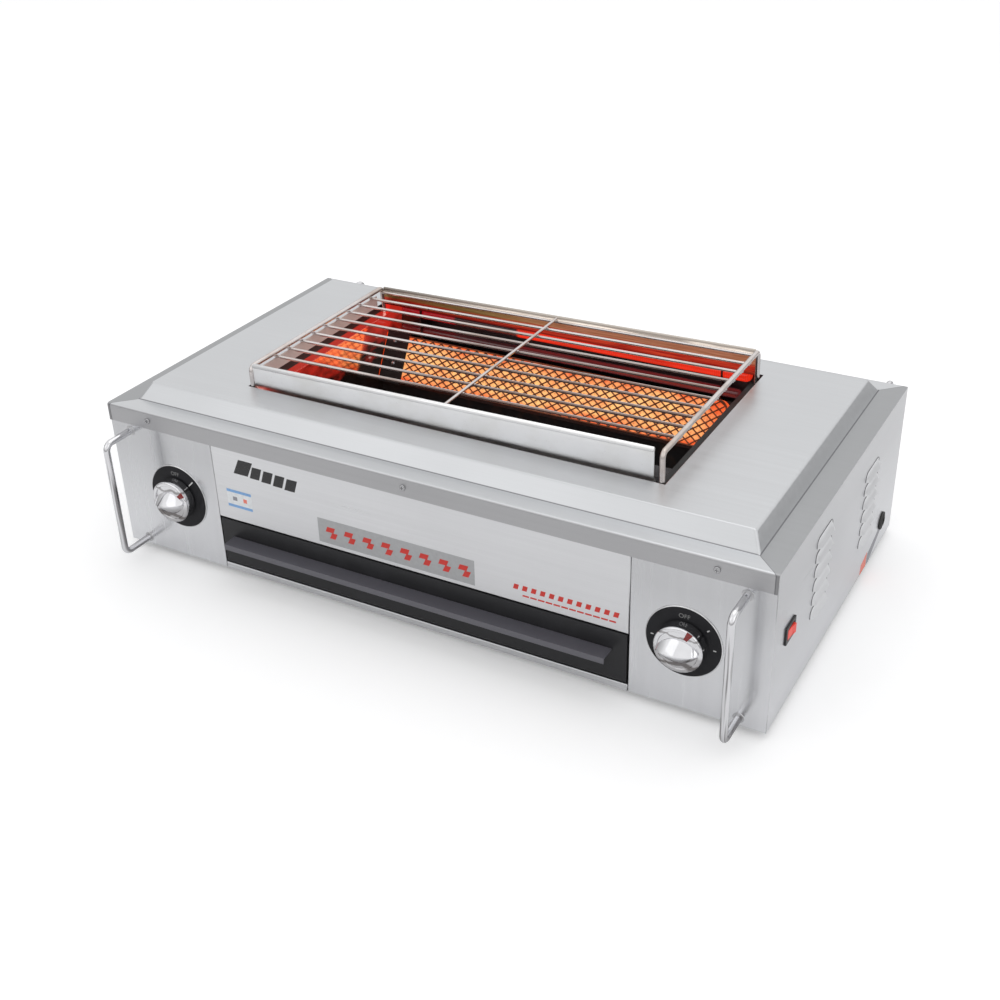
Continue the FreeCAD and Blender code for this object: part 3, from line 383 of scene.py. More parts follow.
@dataclass(frozen=True)
class Chrome(Finish):
    """Bright plated metal with faint smears, and dark bands of painted reflection where a share is given."""

    colour: Colour = (0.80, 0.80, 0.82)
    rough: float = 0.07
    # share of dark painted reflection in bands, and the bands' scale along X, Y and Z
    shade: float = 0.0
    bands: Point = (70.0, 70.0, 70.0)

    def make(self, shader: Shader) -> None:
        """Bright metal whose gloss drifts, with dark bands of painted reflection when a shade share is
        given.

        Args:
            shader: The material's nodes.
        """
        smear = shader.noise((60.0, 60.0, 25.0), 3.0)
        pits = shader.noise((900.0, 900.0, 900.0), 1.0, shift=(0.5, 0.2, 0.9))
        tone = shader.mix(shader.spread(smear, 0.0, 1.0), toned(self.colour, 0.9), self.colour)
        if self.shade:
            band = shader.noise(self.bands, 2.0, shift=(0.4, 0.9, 0.2))
            tone = shader.mix(shader.spread(band, 0.0, self.shade, 0.50, 0.58), tone, (0.10, 0.09, 0.09))
        gloss = shader.spread(smear, self.rough, self.rough + 0.08)
        shader.paint(Base_Color=tone, Metallic=1.0, Roughness=gloss)
        shader.bump(pits, 0.01 * MM, 0.3)


@dataclass(frozen=True)
class KnobChrome(Chrome):
    """Knob plating with painted shade: greyer on its lower half, with a dark band near its foot and one near
    its crown.
    """

    middle: float = 91.0 * MM

    def make(self, shader: Shader) -> None:
        """The plating, then painted shade in bands by height that waver a little.

        Args:
            shader: The material's nodes.
        """
        super().make(shader)
        base = shader.base
        _, _, up = shader.parts(shader.place(shift=(0.0, 0.0, -self.middle)))
        waver = shader.noise((70.0, 70.0, 70.0), 2.0)
        level = shader.plus(up, shader.spread(waver, -2.5 * MM, 2.5 * MM))
        # painted shade by height, standing in for dark reflections
        under = shader.spread(level, 0.42, 0.0, -5.0 * MM, 1.0 * MM)
        foot = shader.spread(shader.unsigned(shader.plus(level, 16.5 * MM)),
                             0.85, 0.0, 1.5 * MM, 3.5 * MM)
        crown = shader.spread(shader.unsigned(shader.minus(level, 16.0 * MM)),
                              0.6, 0.0, 0.8 * MM, 2.0 * MM)
        dark = shader.most(under, shader.most(foot, crown))
        shader.paint(Base_Color=shader.mix(dark, base, (0.09, 0.075, 0.07)))


@dataclass(frozen=True)
class RackWire(Finish):
    """Bright rack wire, straw-tinted where the heat has reached it."""

    pale: Colour = (0.70, 0.66, 0.65)
    straw: Colour = (0.47, 0.37, 0.30)
    rough: float = 0.2
    metal: float = 1.0
    burnt: float = 0.5

    def make(self, shader: Shader) -> None:
        """Metal with heat tint in long drifts and burnt specks.

        Args:
            shader: The material's nodes.
        """
        drift = shader.noise((14.0, 22.0, 22.0), 3.0, 0.6)
        speck = shader.noise((500.0, 500.0, 500.0), 2.0)
        tint = shader.mix(shader.spread(drift, 0.0, 0.8, 0.45, 0.75), self.pale, self.straw)
        burnt = shader.spread(speck, 0.0, self.burnt, 0.68, 0.76)
        shader.paint(Base_Color=shader.mix(burnt, tint, (0.08, 0.06, 0.05)), Metallic=self.metal)
        shader.paint(Roughness=shader.spread(drift, self.rough, self.rough + 0.14))
        shader.bump(speck, 0.02 * MM, 0.4)


@dataclass(frozen=True)
class DarkenedRodWire(RackWire):
    """Rack wire whose rods are darker brown over the radiant panel."""

    under: float = 233.6 * MM          # the rods lie under this height before the tilt
    legs: float = 250.0 * MM           # the end wire's legs start here and stay bright

    def make(self, shader: Shader) -> None:
        """The wire, then brown on the rods over the panel.

        Args:
            shader: The material's nodes.
        """
        super().make(shader)
        base = shader.base
        across, along, up = shader.parts(shader.place())
        raised = shader.rack_rise(across)
        below = shader.maths("LESS_THAN", shader.minus(up, raised), self.under)
        over = shader.times(shader.spread(across, 0.0, 1.0, -0.14, -0.05),
                            shader.spread(along, 0.8, 0.0, 0.02, 0.09))
        over = shader.times(over, shader.maths("LESS_THAN", across, self.legs))
        brown = shader.times(below, over)
        shader.paint(Base_Color=shader.mix(brown, base, (0.13, 0.06, 0.04)))


@dataclass(frozen=True)
class Enamel(Finish):
    """Vitreous enamel or paint: dark, slightly wavy, with fat splashes."""

    colour: Colour = (0.010, 0.010, 0.011)
    splash: Colour = (0.030, 0.018, 0.012)
    rough: float = 0.42
    sheen: float = 0.3
    uneven: float = 1.0

    def make(self, shader: Shader) -> None:
        """Orange-peel waviness and duller brown splashes.

        Args:
            shader: The material's nodes.
        """
        peel = shader.noise((350.0, 350.0, 350.0), 2.0)
        blot = shader.noise((38.0, 38.0, 38.0), 4.0, 0.6, shift=(0.7, 0.1, 0.3))
        wet = shader.spread(blot, 0.0, 1.0, 0.52, 0.68)
        gloss = shader.spread(blot, self.rough - 0.08 * self.uneven, self.rough + 0.12 * self.uneven)
        shader.paint(Base_Color=shader.mix(wet, self.colour, self.splash), Roughness=gloss,
                     Specular_IOR_Level=self.sheen)
        shader.bump(peel, 0.06 * MM, 0.4)


@dataclass(frozen=True)
class GlowingCeramic(Finish):
    """Radiant ceramic: honeycomb of small holes, hot in the middle and redder at its edges."""

    centre: Point
    half_length: float
    half_height: float
    slope: float
    hot: Colour = (1.0, 0.56, 0.20)
    warm: Colour = (0.82, 0.10, 0.02)
    dull: Colour = (0.34, 0.028, 0.008)
    strength: float = 1.0

    def make(self, shader: Shader) -> None:
        """Emission that falls off towards the edges, with cells and patches.

        Args:
            shader: The material's nodes.
        """
        across, along, up = shader.parts(shader.place(shift=tuple(-c for c in self.centre)))
        rise = shader.plus(shader.times(along, math.cos(self.slope)),
                            shader.times(up, math.sin(self.slope)))
        edge_x = shader.maths("DIVIDE", shader.unsigned(across), self.half_length)
        edge_z = shader.maths("DIVIDE", shader.unsigned(rise), self.half_height)
        out = shader.most(shader.maths("POWER", edge_x, 9.0), shader.maths("POWER", edge_z, 3.0))
        patch = shader.noise((32.0, 60.0, 60.0), 3.0, 0.6)
        heat = shader.minus(1.0, out)
        heat = shader.plus(shader.times(heat, 0.75), shader.spread(patch, -0.35, 0.3))
        cells = shader.cells(250.0, "Distance")
        hole = shader.spread(cells, 1.0, 0.0, 0.22, 0.42)
        glow = shader.mix(shader.spread(heat, 0.0, 1.0, 0.08, 0.85), self.warm, self.hot)
        glow = shader.mix(shader.times(hole, 0.42), glow, self.dull)
        shader.paint(Base_Color=(0.42, 0.16, 0.07, 1.0), Roughness=0.85, Emission_Color=glow,
                     Emission_Strength=self.strength)
        shader.bump(shader.minus(1.0, hole), 0.4 * MM, 0.6)


@dataclass(frozen=True)
class QuartzGlow(Finish):
    """Quartz tube whose coil glows through the wall, with cold and dull stretches."""

    hot: Colour = (0.86, 0.030, 0.010)
    dull: Colour = (0.30, 0.003, 0.008)
    cold: Colour = (0.012, 0.008, 0.009)
    cold_from: float = -0.165
    cold_to: float = -0.072
    strength: float = 1.0

    def make(self, shader: Shader) -> None:
        """Coil turns as fine bands, and three stretches along the tube.

        Args:
            shader: The material's nodes.
        """
        across, _, _ = shader.parts(shader.place())
        wave = shader.maths("SINE", shader.times(across, 2 * math.pi / (2.6 * MM)))
        drift = shader.noise((18.0, 60.0, 60.0), 3.0)
        turn = shader.times(shader.spread(wave, 0.80, 1.0, -1.0, 1.0),
                            shader.spread(drift, 0.72, 1.12))
        edge = 4 * MM
        past_dull = shader.spread(across, 0.0, 1.0, self.cold_from - edge, self.cold_from)
        past_cold = shader.spread(across, 0.0, 1.0, self.cold_to - edge, self.cold_to)
        stretch = shader.mix(past_cold, shader.mix(past_dull, self.dull, self.cold), self.hot)
        glow = shader.mix(turn, (0.0, 0.0, 0.0), stretch)
        shader.paint(Base_Color=(0.10, 0.012, 0.012, 1.0), Roughness=0.18, Emission_Color=glow,
                     Emission_Strength=self.strength, Coat_Weight=0.6, Coat_Roughness=0.08)


@dataclass(frozen=True)
class Moulded(Finish):
    """Moulded plastic, rubber or ceramic with a fine skin texture."""

    colour: Colour = (0.03, 0.03, 0.032)
    rough: float = 0.45
    grain: float = 700.0
    depth: float = 0.05
    glow: float = 0.0
    sheen: float = 0.5

    def make(self, shader: Shader) -> None:
        """Fine pebbled skin and slow colour drift.

        Args:
            shader: The material's nodes.
        """
        skin = shader.noise((self.grain,) * 3, 2.0)
        drift = shader.noise((45.0, 45.0, 45.0), 2.0)
        tone = shader.mix(shader.spread(drift, 0.0, 0.7), self.colour, toned(self.colour, 1.35, 0.004))
        gloss = shader.spread(drift, self.rough - 0.05, self.rough + 0.08)
        shader.paint(Base_Color=tone, Roughness=gloss, Specular_IOR_Level=self.sheen)
        if self.glow:
            shader.paint(Emission_Color=tone, Emission_Strength=self.glow)
        shader.bump(skin, self.depth * MM, 0.5)


@dataclass(frozen=True)
class Galvanised(Finish):
    """Zinc-coated sheet with its crystal spangle."""

    colour: Colour = (0.46, 0.47, 0.48)

    def make(self, shader: Shader) -> None:
        """Flat cells of slightly different tone and gloss.

        Args:
            shader: The material's nodes.
        """
        value = shader.add("ShaderNodeSeparateColor", {0: shader.cells(85.0, "Color")})
        share = shader.spread(value, 0.0, 1.0, 0.0, 1.0)
        shader.paint(Base_Color=shader.mix(share, self.colour, toned(self.colour, 1.25)), Metallic=0.9,
                     Roughness=shader.spread(value, 0.32, 0.5, 0.0, 1.0))


@dataclass(frozen=True)
class Printed(Finish):
    """Thin printed film or paint with fine scuffs."""

    colour: Colour = (0.8, 0.8, 0.8)
    metal: float = 0.0
    rough: float = 0.4

    def make(self, shader: Shader) -> None:
        """Even ink that thins a little in scuffs.

        Args:
            shader: The material's nodes.
        """
        scuff = shader.noise((260.0, 30.0, 260.0), 4.0, 0.6)
        tone = shader.mix(shader.spread(scuff, 0.0, 1.0), toned(self.colour, 0.86), self.colour)
        gloss = shader.spread(scuff, self.rough - 0.06, self.rough + 0.1)
        shader.paint(Base_Color=tone, Metallic=self.metal, Roughness=gloss)
        shader.bump(scuff, 0.01 * MM, 0.4)


@dataclass(frozen=True)
class HeatTintAndGlow(Finish):
    """Polished strip, level at its foot, with heat colours in bands down its growing height, and painted
    light: a highlight band under the roll and the heaters' red glow.
    """

    top: float = 236.5 * MM
    foot: float = 215.0 * MM
    # the painted glow fades out to the left of here
    dim_until: float = -0.17

    def make(self, shader: Shader) -> None:
        """Bands of grey, a painted highlight, gold heat tint and red painted glow, darker red at the foot,
        drifting along the strip, with emission that paints the glow stronger to the right.

        Args:
            shader: The material's nodes.
        """
        across, _, up = shader.parts(shader.place())
        raised = shader.rack_rise(across)
        drift = shader.noise((9.0, 9.0, 160.0), 3.0, 0.6)
        height = shader.minus(up, raised)
        height = shader.plus(height, shader.spread(drift, -1.6 * MM, 1.6 * MM))
        tall = shader.plus(raised, self.top - self.foot)
        share = shader.maths("DIVIDE", shader.minus(self.top, height), tall)
        aside = shader.spread(across, 0.0, 1.0, -0.12, 0.02)
        streak = shader.noise((16.0, 16.0, 700.0), 3.0, 0.65, shift=(0.3, 0.8, 0.1))
        fleck = shader.spread(streak, 0.0, 1.0, 0.36, 0.64)
        olive = shader.mix(fleck, (0.22, 0.14, 0.045), (0.34, 0.22, 0.08))
        gold = shader.mix(aside, olive, shader.mix(fleck, (0.30, 0.10, 0.045), (0.52, 0.22, 0.13)))
        # red bands: painted glow of the heaters on the strip
        hot = shader.mix(fleck, (0.30, 0.008, 0.008), (0.66, 0.06, 0.025))
        # the roll grey, then a pale band under it: painted highlight
        tone = shader.mix(shader.spread(share, 0.0, 1.0, 0.05, 0.12), (0.30, 0.27, 0.24), (0.85, 0.79, 0.72))
        tone = shader.mix(shader.spread(share, 0.0, 1.0, 0.16, 0.22), tone, gold)
        tone = shader.mix(shader.spread(share, 0.0, 1.0, 0.52, 0.66), tone, hot)
        tone = shader.mix(shader.spread(share, 0.0, 0.85, 0.86, 1.0), tone, (0.10, 0.006, 0.006))
        # emission: painted glow, stronger towards the right
        painted_glow = shader.spread(across, 0.08, 0.72, self.dim_until - 0.06, self.dim_until + 0.14)
        shader.paint(Base_Color=tone, Metallic=0.7, Roughness=shader.spread(drift, 0.18, 0.3),
                     Emission_Color=tone, Emission_Strength=painted_glow)
        shader.bump(drift, 0.05 * MM, 0.3)


@dataclass(frozen=True)
class StudioFloor(Finish):
    """Plain pale floor that keeps the object's shadow; its far part is dim in reflections only."""

    colour: Colour = (0.93, 0.93, 0.935)
    far: Colour = (0.24, 0.24, 0.245)
    lift: float = 0.20
    near_edge: float = 1.2
    far_edge: float = 2.6

    def make(self, shader: Shader) -> None:
        """Even pale paper, faintly clouded, a little brighter to the eye than as a light.

        Args:
            shader: The material's nodes.
        """
        cloud = shader.noise((3.0, 3.0, 3.0), 2.0)
        seen = shader.add("ShaderNodeLightPath", {}, "Is Camera Ray")
        away = shader.add("ShaderNodeVectorMath", {0: shader.place()}, "Value", operation="LENGTH")
        far = shader.times(shader.spread(away, 0.0, 1.0, self.near_edge, self.far_edge),
                           shader.minus(1.0, seen))
        paper = shader.mix(cloud, toned(self.colour, 0.985), self.colour)
        shader.paint(Base_Color=shader.mix(far, paper, self.far), Roughness=0.9, Emission_Color=WHITE,
                     Emission_Strength=shader.times(seen, self.lift))


class Finishes:
    """Every finish on the roaster."""

    body = BrushedSteel("body_steel", (0.60, 0.61, 0.625), Axis.X)
    # the apron's paler tone than the control panels is painted light, for how light falls on it
    apron = BrushedSteel("apron_steel", (0.72, 0.725, 0.74), Axis.X)
    # the control and side sheets get a painted reflection of the floor that makes them paler towards their
    # foot
    control = BrushedSteel("control_steel", (0.575, 0.58, 0.595), Axis.Z, 0.21, painted_reflection_gain=1.36)
    side = BrushedSteel("side_steel", (0.585, 0.59, 0.605), Axis.Y, painted_reflection_gain=1.3)
    hood = BrushedSteel("hood_steel", (0.76, 0.765, 0.78), Axis.Y, 0.38)
    # dark wires along the louvre hoods' edges: painted shade
    rim = Printed("louvre_rim_shade", (0.15, 0.15, 0.16), 0.3)
    polished = PolishedWall("polished_wall_steel", (0.80, 0.60, 0.52), Axis.Y, 0.07, 0.03)
    deck = CoverSteel("deck_steel", (0.62, 0.63, 0.645), Axis.X, 0.32)
    # the lip: the deck's finish painted darker, as painted shade
    lip = CoverSteel("lip_steel_painted_shade", (0.44, 0.44, 0.45), Axis.X, 0.32)
    knob = KnobChrome("knob_chrome")
    # the handles carry bands of painted dark reflection
    handle = Chrome("handle_chrome", (0.78, 0.78, 0.80), 0.1, 0.7, (230.0, 7.0, 7.0))
    screw = Chrome("screw_plate", (0.46, 0.46, 0.47), 0.2)
    steel_pin = Chrome("turned_steel", (0.55, 0.55, 0.56), 0.25)
    wire = DarkenedRodWire("rack_wire_metal")
    strip = RackWire("rack_strip_metal", (0.93, 0.93, 0.935), (0.84, 0.83, 0.80), 0.3, burnt=0.1)
    # left strip: its pink tone is a painted reflection of the heaters' glow
    painted_glow_strip = RackWire("rack_strip_painted_glow", (0.80, 0.68, 0.64), (0.62, 0.46, 0.42), 0.45, 0.1, 0.3)
    back_strip = HeatTintAndGlow("rack_strip_heat_tint")
    guard = RackWire("guard_wire_metal", (0.34, 0.11, 0.05), (0.16, 0.04, 0.02), 0.5, 0.35)
    enamel = Enamel("firebox_enamel")
    drawer = Enamel("drawer_enamel", (0.020, 0.020, 0.022), (0.024, 0.024, 0.027), 0.36)
    pull = Enamel("pull_enamel", (0.10, 0.098, 0.115), (0.105, 0.103, 0.12), 0.34, 0.6, 0.2)
    quartz = QuartzGlow("quartz_glow_bright")
    quartz_dim = QuartzGlow("quartz_glow_dim", (0.055, 0.012, 0.014), (0.03, 0.004, 0.005))
    dial = Moulded("dial_black_satin", (0.013, 0.013, 0.015), 0.42, sheen=0.14)
    dial_edge = Chrome("dial_edge_plate", (0.72, 0.72, 0.73), 0.2)
    case = Moulded("moulded_brown", (0.07, 0.045, 0.03), 0.5)
    bezel = Moulded("switch_black_plastic", (0.015, 0.015, 0.016), 0.4)
    rocker = Moulded("switch_red_plastic", (0.66, 0.035, 0.018), 0.28, glow=0.1)
    rubber = Moulded("black_rubber", (0.02, 0.02, 0.02), 0.7, 400.0, 0.12)
    zinc = Galvanised("zinc_sheet")
    tray = BrushedSteel("tray_steel_sheet", (0.48, 0.48, 0.49), Axis.Y, 0.38)
    reflector = BrushedSteel("reflector_sheet_metal", (0.10, 0.095, 0.095), Axis.X, 0.4)
    print_white = Printed("print_white", (0.62, 0.62, 0.62))
    print_grey = Printed("print_grey", (0.22, 0.22, 0.22))
    print_red = Printed("print_red", (0.62, 0.03, 0.02))
    mark_red = Printed("mark_red", (0.24, 0.02, 0.018), rough=0.25)
    foil = Printed("label_foil", (0.46, 0.465, 0.475), 0.75, 0.4)
    sticker = Printed("sticker_white", (0.80, 0.82, 0.84))
    sticker_blue = Printed("sticker_blue", (0.22, 0.42, 0.74))
    sticker_grey = Printed("sticker_grey", (0.30, 0.30, 0.33), 0.2)
    sticker_coral = Printed("sticker_coral", (0.85, 0.22, 0.16))
    badge = Printed("badge_black", (0.012, 0.012, 0.013), 0.0, 0.3)


# ---- meshes ---------------------------------------------------------------------
def linked(name: str, data: bpy.types.ID) -> bpy.types.Object:
    """A new object in the scene for a mesh, curve, lamp or camera.

    Args:
        name: The object's name.
        data: What it shows.

    Returns:
        The object.
    """
    made = bpy.data.objects.new(name, data)
    bpy.context.scene.collection.objects.link(made)
    return made


def baked(holder: bpy.types.Object) -> Mesh:
    """An object's evaluated shape as a plain mesh; the object goes.

    Args:
        holder: The object, removed here.

    Returns:
        The mesh.
    """
    made = bpy.data.meshes.new_from_object(holder.evaluated_get(bpy.context.evaluated_depsgraph_get()))
    bpy.data.objects.remove(holder)
    return made


def smoothed(mesh: Mesh, degrees: float) -> Mesh:
    """The mesh, shaded smooth over edges under this many degrees; 0 leaves it as it is.

    Args:
        mesh: The mesh to shade.
        degrees: The widest angle that is smoothed.

    Returns:
        The same mesh.
    """
    if degrees:
        mesh.shade_smooth()
        mesh.set_sharp_from_angle(angle=math.radians(degrees))
    return mesh


def show(name: str, mesh: Mesh, body: str, finishes: Iterable[Finish],
         stands_for: tuple[str, ...] = ()) -> None:
    """Put a finished mesh in the scene as a piece of the object.

    Args:
        name: The piece's name.
        mesh: Its mesh, already in place.
        body: The body that it rides on.
        finishes: Finishes in the order of the mesh's material slots; empty keeps the mesh's own.
        stands_for: Solids that the piece replaces.
    """
    finishes = list(finishes)
    while len(mesh.materials) < len(finishes):
        mesh.materials.append(None)
    for index, finish in enumerate(finishes):
        mesh.materials[index] = finish.material
    mesh.name = name
    piece = linked(name, mesh)
    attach(piece, body)
    if stands_for:
        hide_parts(*stands_for)
    log.info("piece %s on %s, %d faces", name, body, len(mesh.polygons))


def dress(node: str, finish: Finish) -> None:
    """Give a solid that stays in view its finish.

    Args:
        node: The solid's name.
        finish: What covers it.
    """
    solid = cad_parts[node]
    for place in solid.material_slots:
        place.material = finish.material
    log.info("solid %s in %s", node, finish.name)


def merged(node: str) -> Shape:
    """A solid's mesh with its loose triangles joined and flat faces whole.

    Args:
        node: The solid's name.

    Returns:
        A copy of its mesh.
    """
    bm = bmesh.new()
    bm.from_mesh(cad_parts[node].data)
    bmesh.ops.remove_doubles(bm, verts=bm.verts, dist=DOUBLES)
    bmesh.ops.dissolve_limit(bm, angle_limit=math.radians(0.4), verts=bm.verts, edges=bm.edges)
    return bm


def to_mesh(bm: Shape, name: str, smooth: float = 0.0) -> Mesh:
    """Turn a bmesh into a mesh.

    Args:
        bm: The source, freed here.
        name: The mesh's name.
        smooth: Edges under this many degrees are shaded smooth; 0 leaves all faces flat.

    Returns:
        The mesh.
    """
    mesh = bpy.data.meshes.new(name)
    bm.to_mesh(mesh)
    bm.free()
    return smoothed(mesh, smooth)


def pooled(shapes: Iterable[Shape]) -> Shape:
    """Several shapes in one bmesh; each is freed here.

    Args:
        shapes: The shapes to put together.

    Returns:
        The one that holds them all.
    """
    whole = bmesh.new()
    for shape in shapes:
        scratch = to_mesh(shape, "scratch")
        whole.from_mesh(scratch)
        bpy.data.meshes.remove(scratch)
    return whole


def evaluated(mesh: Mesh, modifiers: list[tuple[str, dict]]) -> Mesh:
    """Run modifiers on a mesh.

    Args:
        mesh: The source.
        modifiers: Modifier types with their settings, in order.

    Returns:
        A new plain mesh.
    """
    holder = linked("holder", mesh)
    for kind, settings in modifiers:
        modifier = holder.modifiers.new(kind.lower(), kind)
        for key, value in settings.items():
            setattr(modifier, key, value)
    return baked(holder)


def eased(bm: Shape, name: str, width: float, segments: int,
          chosen: Callable[[bmesh.types.BMEdge], float]) -> Mesh:
    """Round chosen edges and shade the flat faces flat.

    Args:
        bm: The source, freed here.
        name: The mesh's name.
        width: Radius of the widest rounding.
        segments: Steps round each edge.
        chosen: Gives each edge its share of the width; 0 leaves it alone.

    Returns:
        The mesh.
    """
    weight = bm.edges.layers.float.new("bevel_weight_edge")
    for face in bm.faces:
        face.smooth = True
    for edge in bm.edges:
        edge[weight] = chosen(edge)
        open_edge = len(edge.link_faces) != 2
        edge.smooth = edge[weight] > 0 or open_edge or edge.calc_face_angle() < math.radians(25)
    bevel = {"width": width, "segments": segments, "limit_method": "WEIGHT", "use_clamp_overlap": False}
    even = {"keep_sharp": True, "weight": 100}
    made = evaluated(to_mesh(bm, name), [("BEVEL", bevel), ("WEIGHTED_NORMAL", even)])
    normals = [tuple(corner.vector) for corner in made.corner_normals]
    for face in made.polygons:
        corners = [made.vertices[index].co for index in face.vertices]
        outline = sum((a - b).length for a, b in zip(corners, corners[1:] + corners[:1]))
        if face.area > width * outline / 2:
            for index in face.loop_indices:
                normals[index] = tuple(face.normal)
    made.normals_split_custom_set(normals)
    return made


def rounded(node: str, radius: float) -> Mesh:
    """Copy of a solid with every corner sharper than 30 degrees rounded.

    Args:
        node: The solid's name.
        radius: Radius of the corners.

    Returns:
        The mesh.
    """
    def sharp(edge: bmesh.types.BMEdge) -> float:
        """Whole width for a sharp edge."""
        return float(len(edge.link_faces) == 2 and edge.calc_face_angle() > math.radians(30))

    return eased(merged(node), node, radius, 2, sharp)


def folded(node: str, folds: list[tuple[Callable[[Vector, Vector], bool], float]],
           segments: int = 4) -> Mesh:
    """Copy of a sheet with chosen edges rounded.

    Args:
        node: The solid to copy.
        folds: Tests on an edge's two ends, each with the radius for the edges that pass.
        segments: Steps round each fold.

    Returns:
        The mesh.
    """
    widest = max(radius for _, radius in folds)

    def share(edge: bmesh.types.BMEdge) -> float:
        """Share of the first fold that the edge belongs to; none on an edge inside a flat face.

        Args:
            edge: The edge to weigh.

        Returns:
            A number from 0 to 1.
        """
        if len(edge.link_faces) != 2 or edge.calc_face_angle() < math.radians(5):
            return 0.0
        ends = [vertex.co for vertex in edge.verts]
        return next((radius / widest for test, radius in folds if test(*ends)), 0.0)

    return eased(merged(node), node, widest, segments, share)


def close(first: float, second: float, room: float = 0.05 * MM) -> bool:
    """Whether two lengths agree."""
    return abs(first - second) < room


def plate(corners: list[Point], normal: Point, thick: float) -> Shape:
    """Thin plate from its outline, grown along the normal.

    Args:
        corners: The outline, in order.
        normal: Direction of its face.
        thick: How far it grows.

    Returns:
        The plate.
    """
    bm = bmesh.new()
    rises = (Vector((0.0, 0.0, 0.0)), Vector(normal) * thick)
    return skinned(bm, [[bm.verts.new(Vector(corner) + rise) for corner in corners] for rise in rises])


def turned(profile: Outline, foot: Point = (0, 0, 0), axis: Point = (0, 0, 1), steps: int = 96) -> Shape:
    """Solid turned on an axis.

    Args:
        profile: Radius and height pairs from the foot to the crown; a zero radius is a pole.
        foot: Where the axis starts.
        axis: Direction of the axis.
        steps: Steps round the axis.

    Returns:
        A closed bmesh when the profile starts and ends at the axis.
    """
    bm = bmesh.new()
    frame_turn = Vector((0, 0, 1)).rotation_difference(Vector(axis))
    rings = []
    for radius, height in profile:
        count = steps if radius > 1e-7 else 1
        ring = []
        for step in range(count):
            angle = 2 * math.pi * step / steps
            here = Vector((radius * math.cos(angle), radius * math.sin(angle), height))
            ring.append(bm.verts.new(Vector(foot) + frame_turn @ here))
        rings.append(ring)
    for low, high in zip(rings, rings[1:]):
        for step in range(steps):
            corners = [low[step % len(low)], low[(step + 1) % len(low)],
                       high[(step + 1) % len(high)], high[step % len(high)]]
            bm.faces.new(list(dict.fromkeys(corners)))
    bmesh.ops.recalc_face_normals(bm, faces=bm.faces)
    return bm


def skinned(bm: Shape, rings: list[list[bmesh.types.BMVert]]) -> Shape:
    """Join a row of rings with faces, cap both ends and turn every face outwards.

    Args:
        bm: Holds the rings.
        rings: Rings of equal length, in order.

    Returns:
        The same shape, closed.
    """
    for near, far in zip(rings, rings[1:]):
        for k in range(len(near)):
            after = (k + 1) % len(near)
            bm.faces.new((near[k], near[after], far[after], far[k]))
    bm.faces.new(rings[0])
    bm.faces.new(rings[-1])
    bmesh.ops.recalc_face_normals(bm, faces=bm.faces)
    return bm


def box_into(bm: Shape, across: Span, along: Span, up: Span) -> None:
    """Add a box between its limits on the three axes.

    Args:
        bm: Takes the box.
        across: Limits along X.
        along: Limits along Y.
        up: Limits along Z.
    """
    made = bmesh.ops.create_cube(bm, size=1.0)
    for vertex in made["verts"]:
        vertex.co = Vector((across[vertex.co.x > 0], along[vertex.co.y > 0], up[vertex.co.z > 0]))


def arc(centre: tuple[float, float], radius: float, start: float, end: float,
        steps: int = 5) -> Outline:
    """Points on a circle's arc, with the angles in degrees."""
    angles = [math.radians(start + (end - start) * step / steps) for step in range(steps + 1)]
    return [(centre[0] + radius * math.cos(a), centre[1] + radius * math.sin(a)) for a in angles]


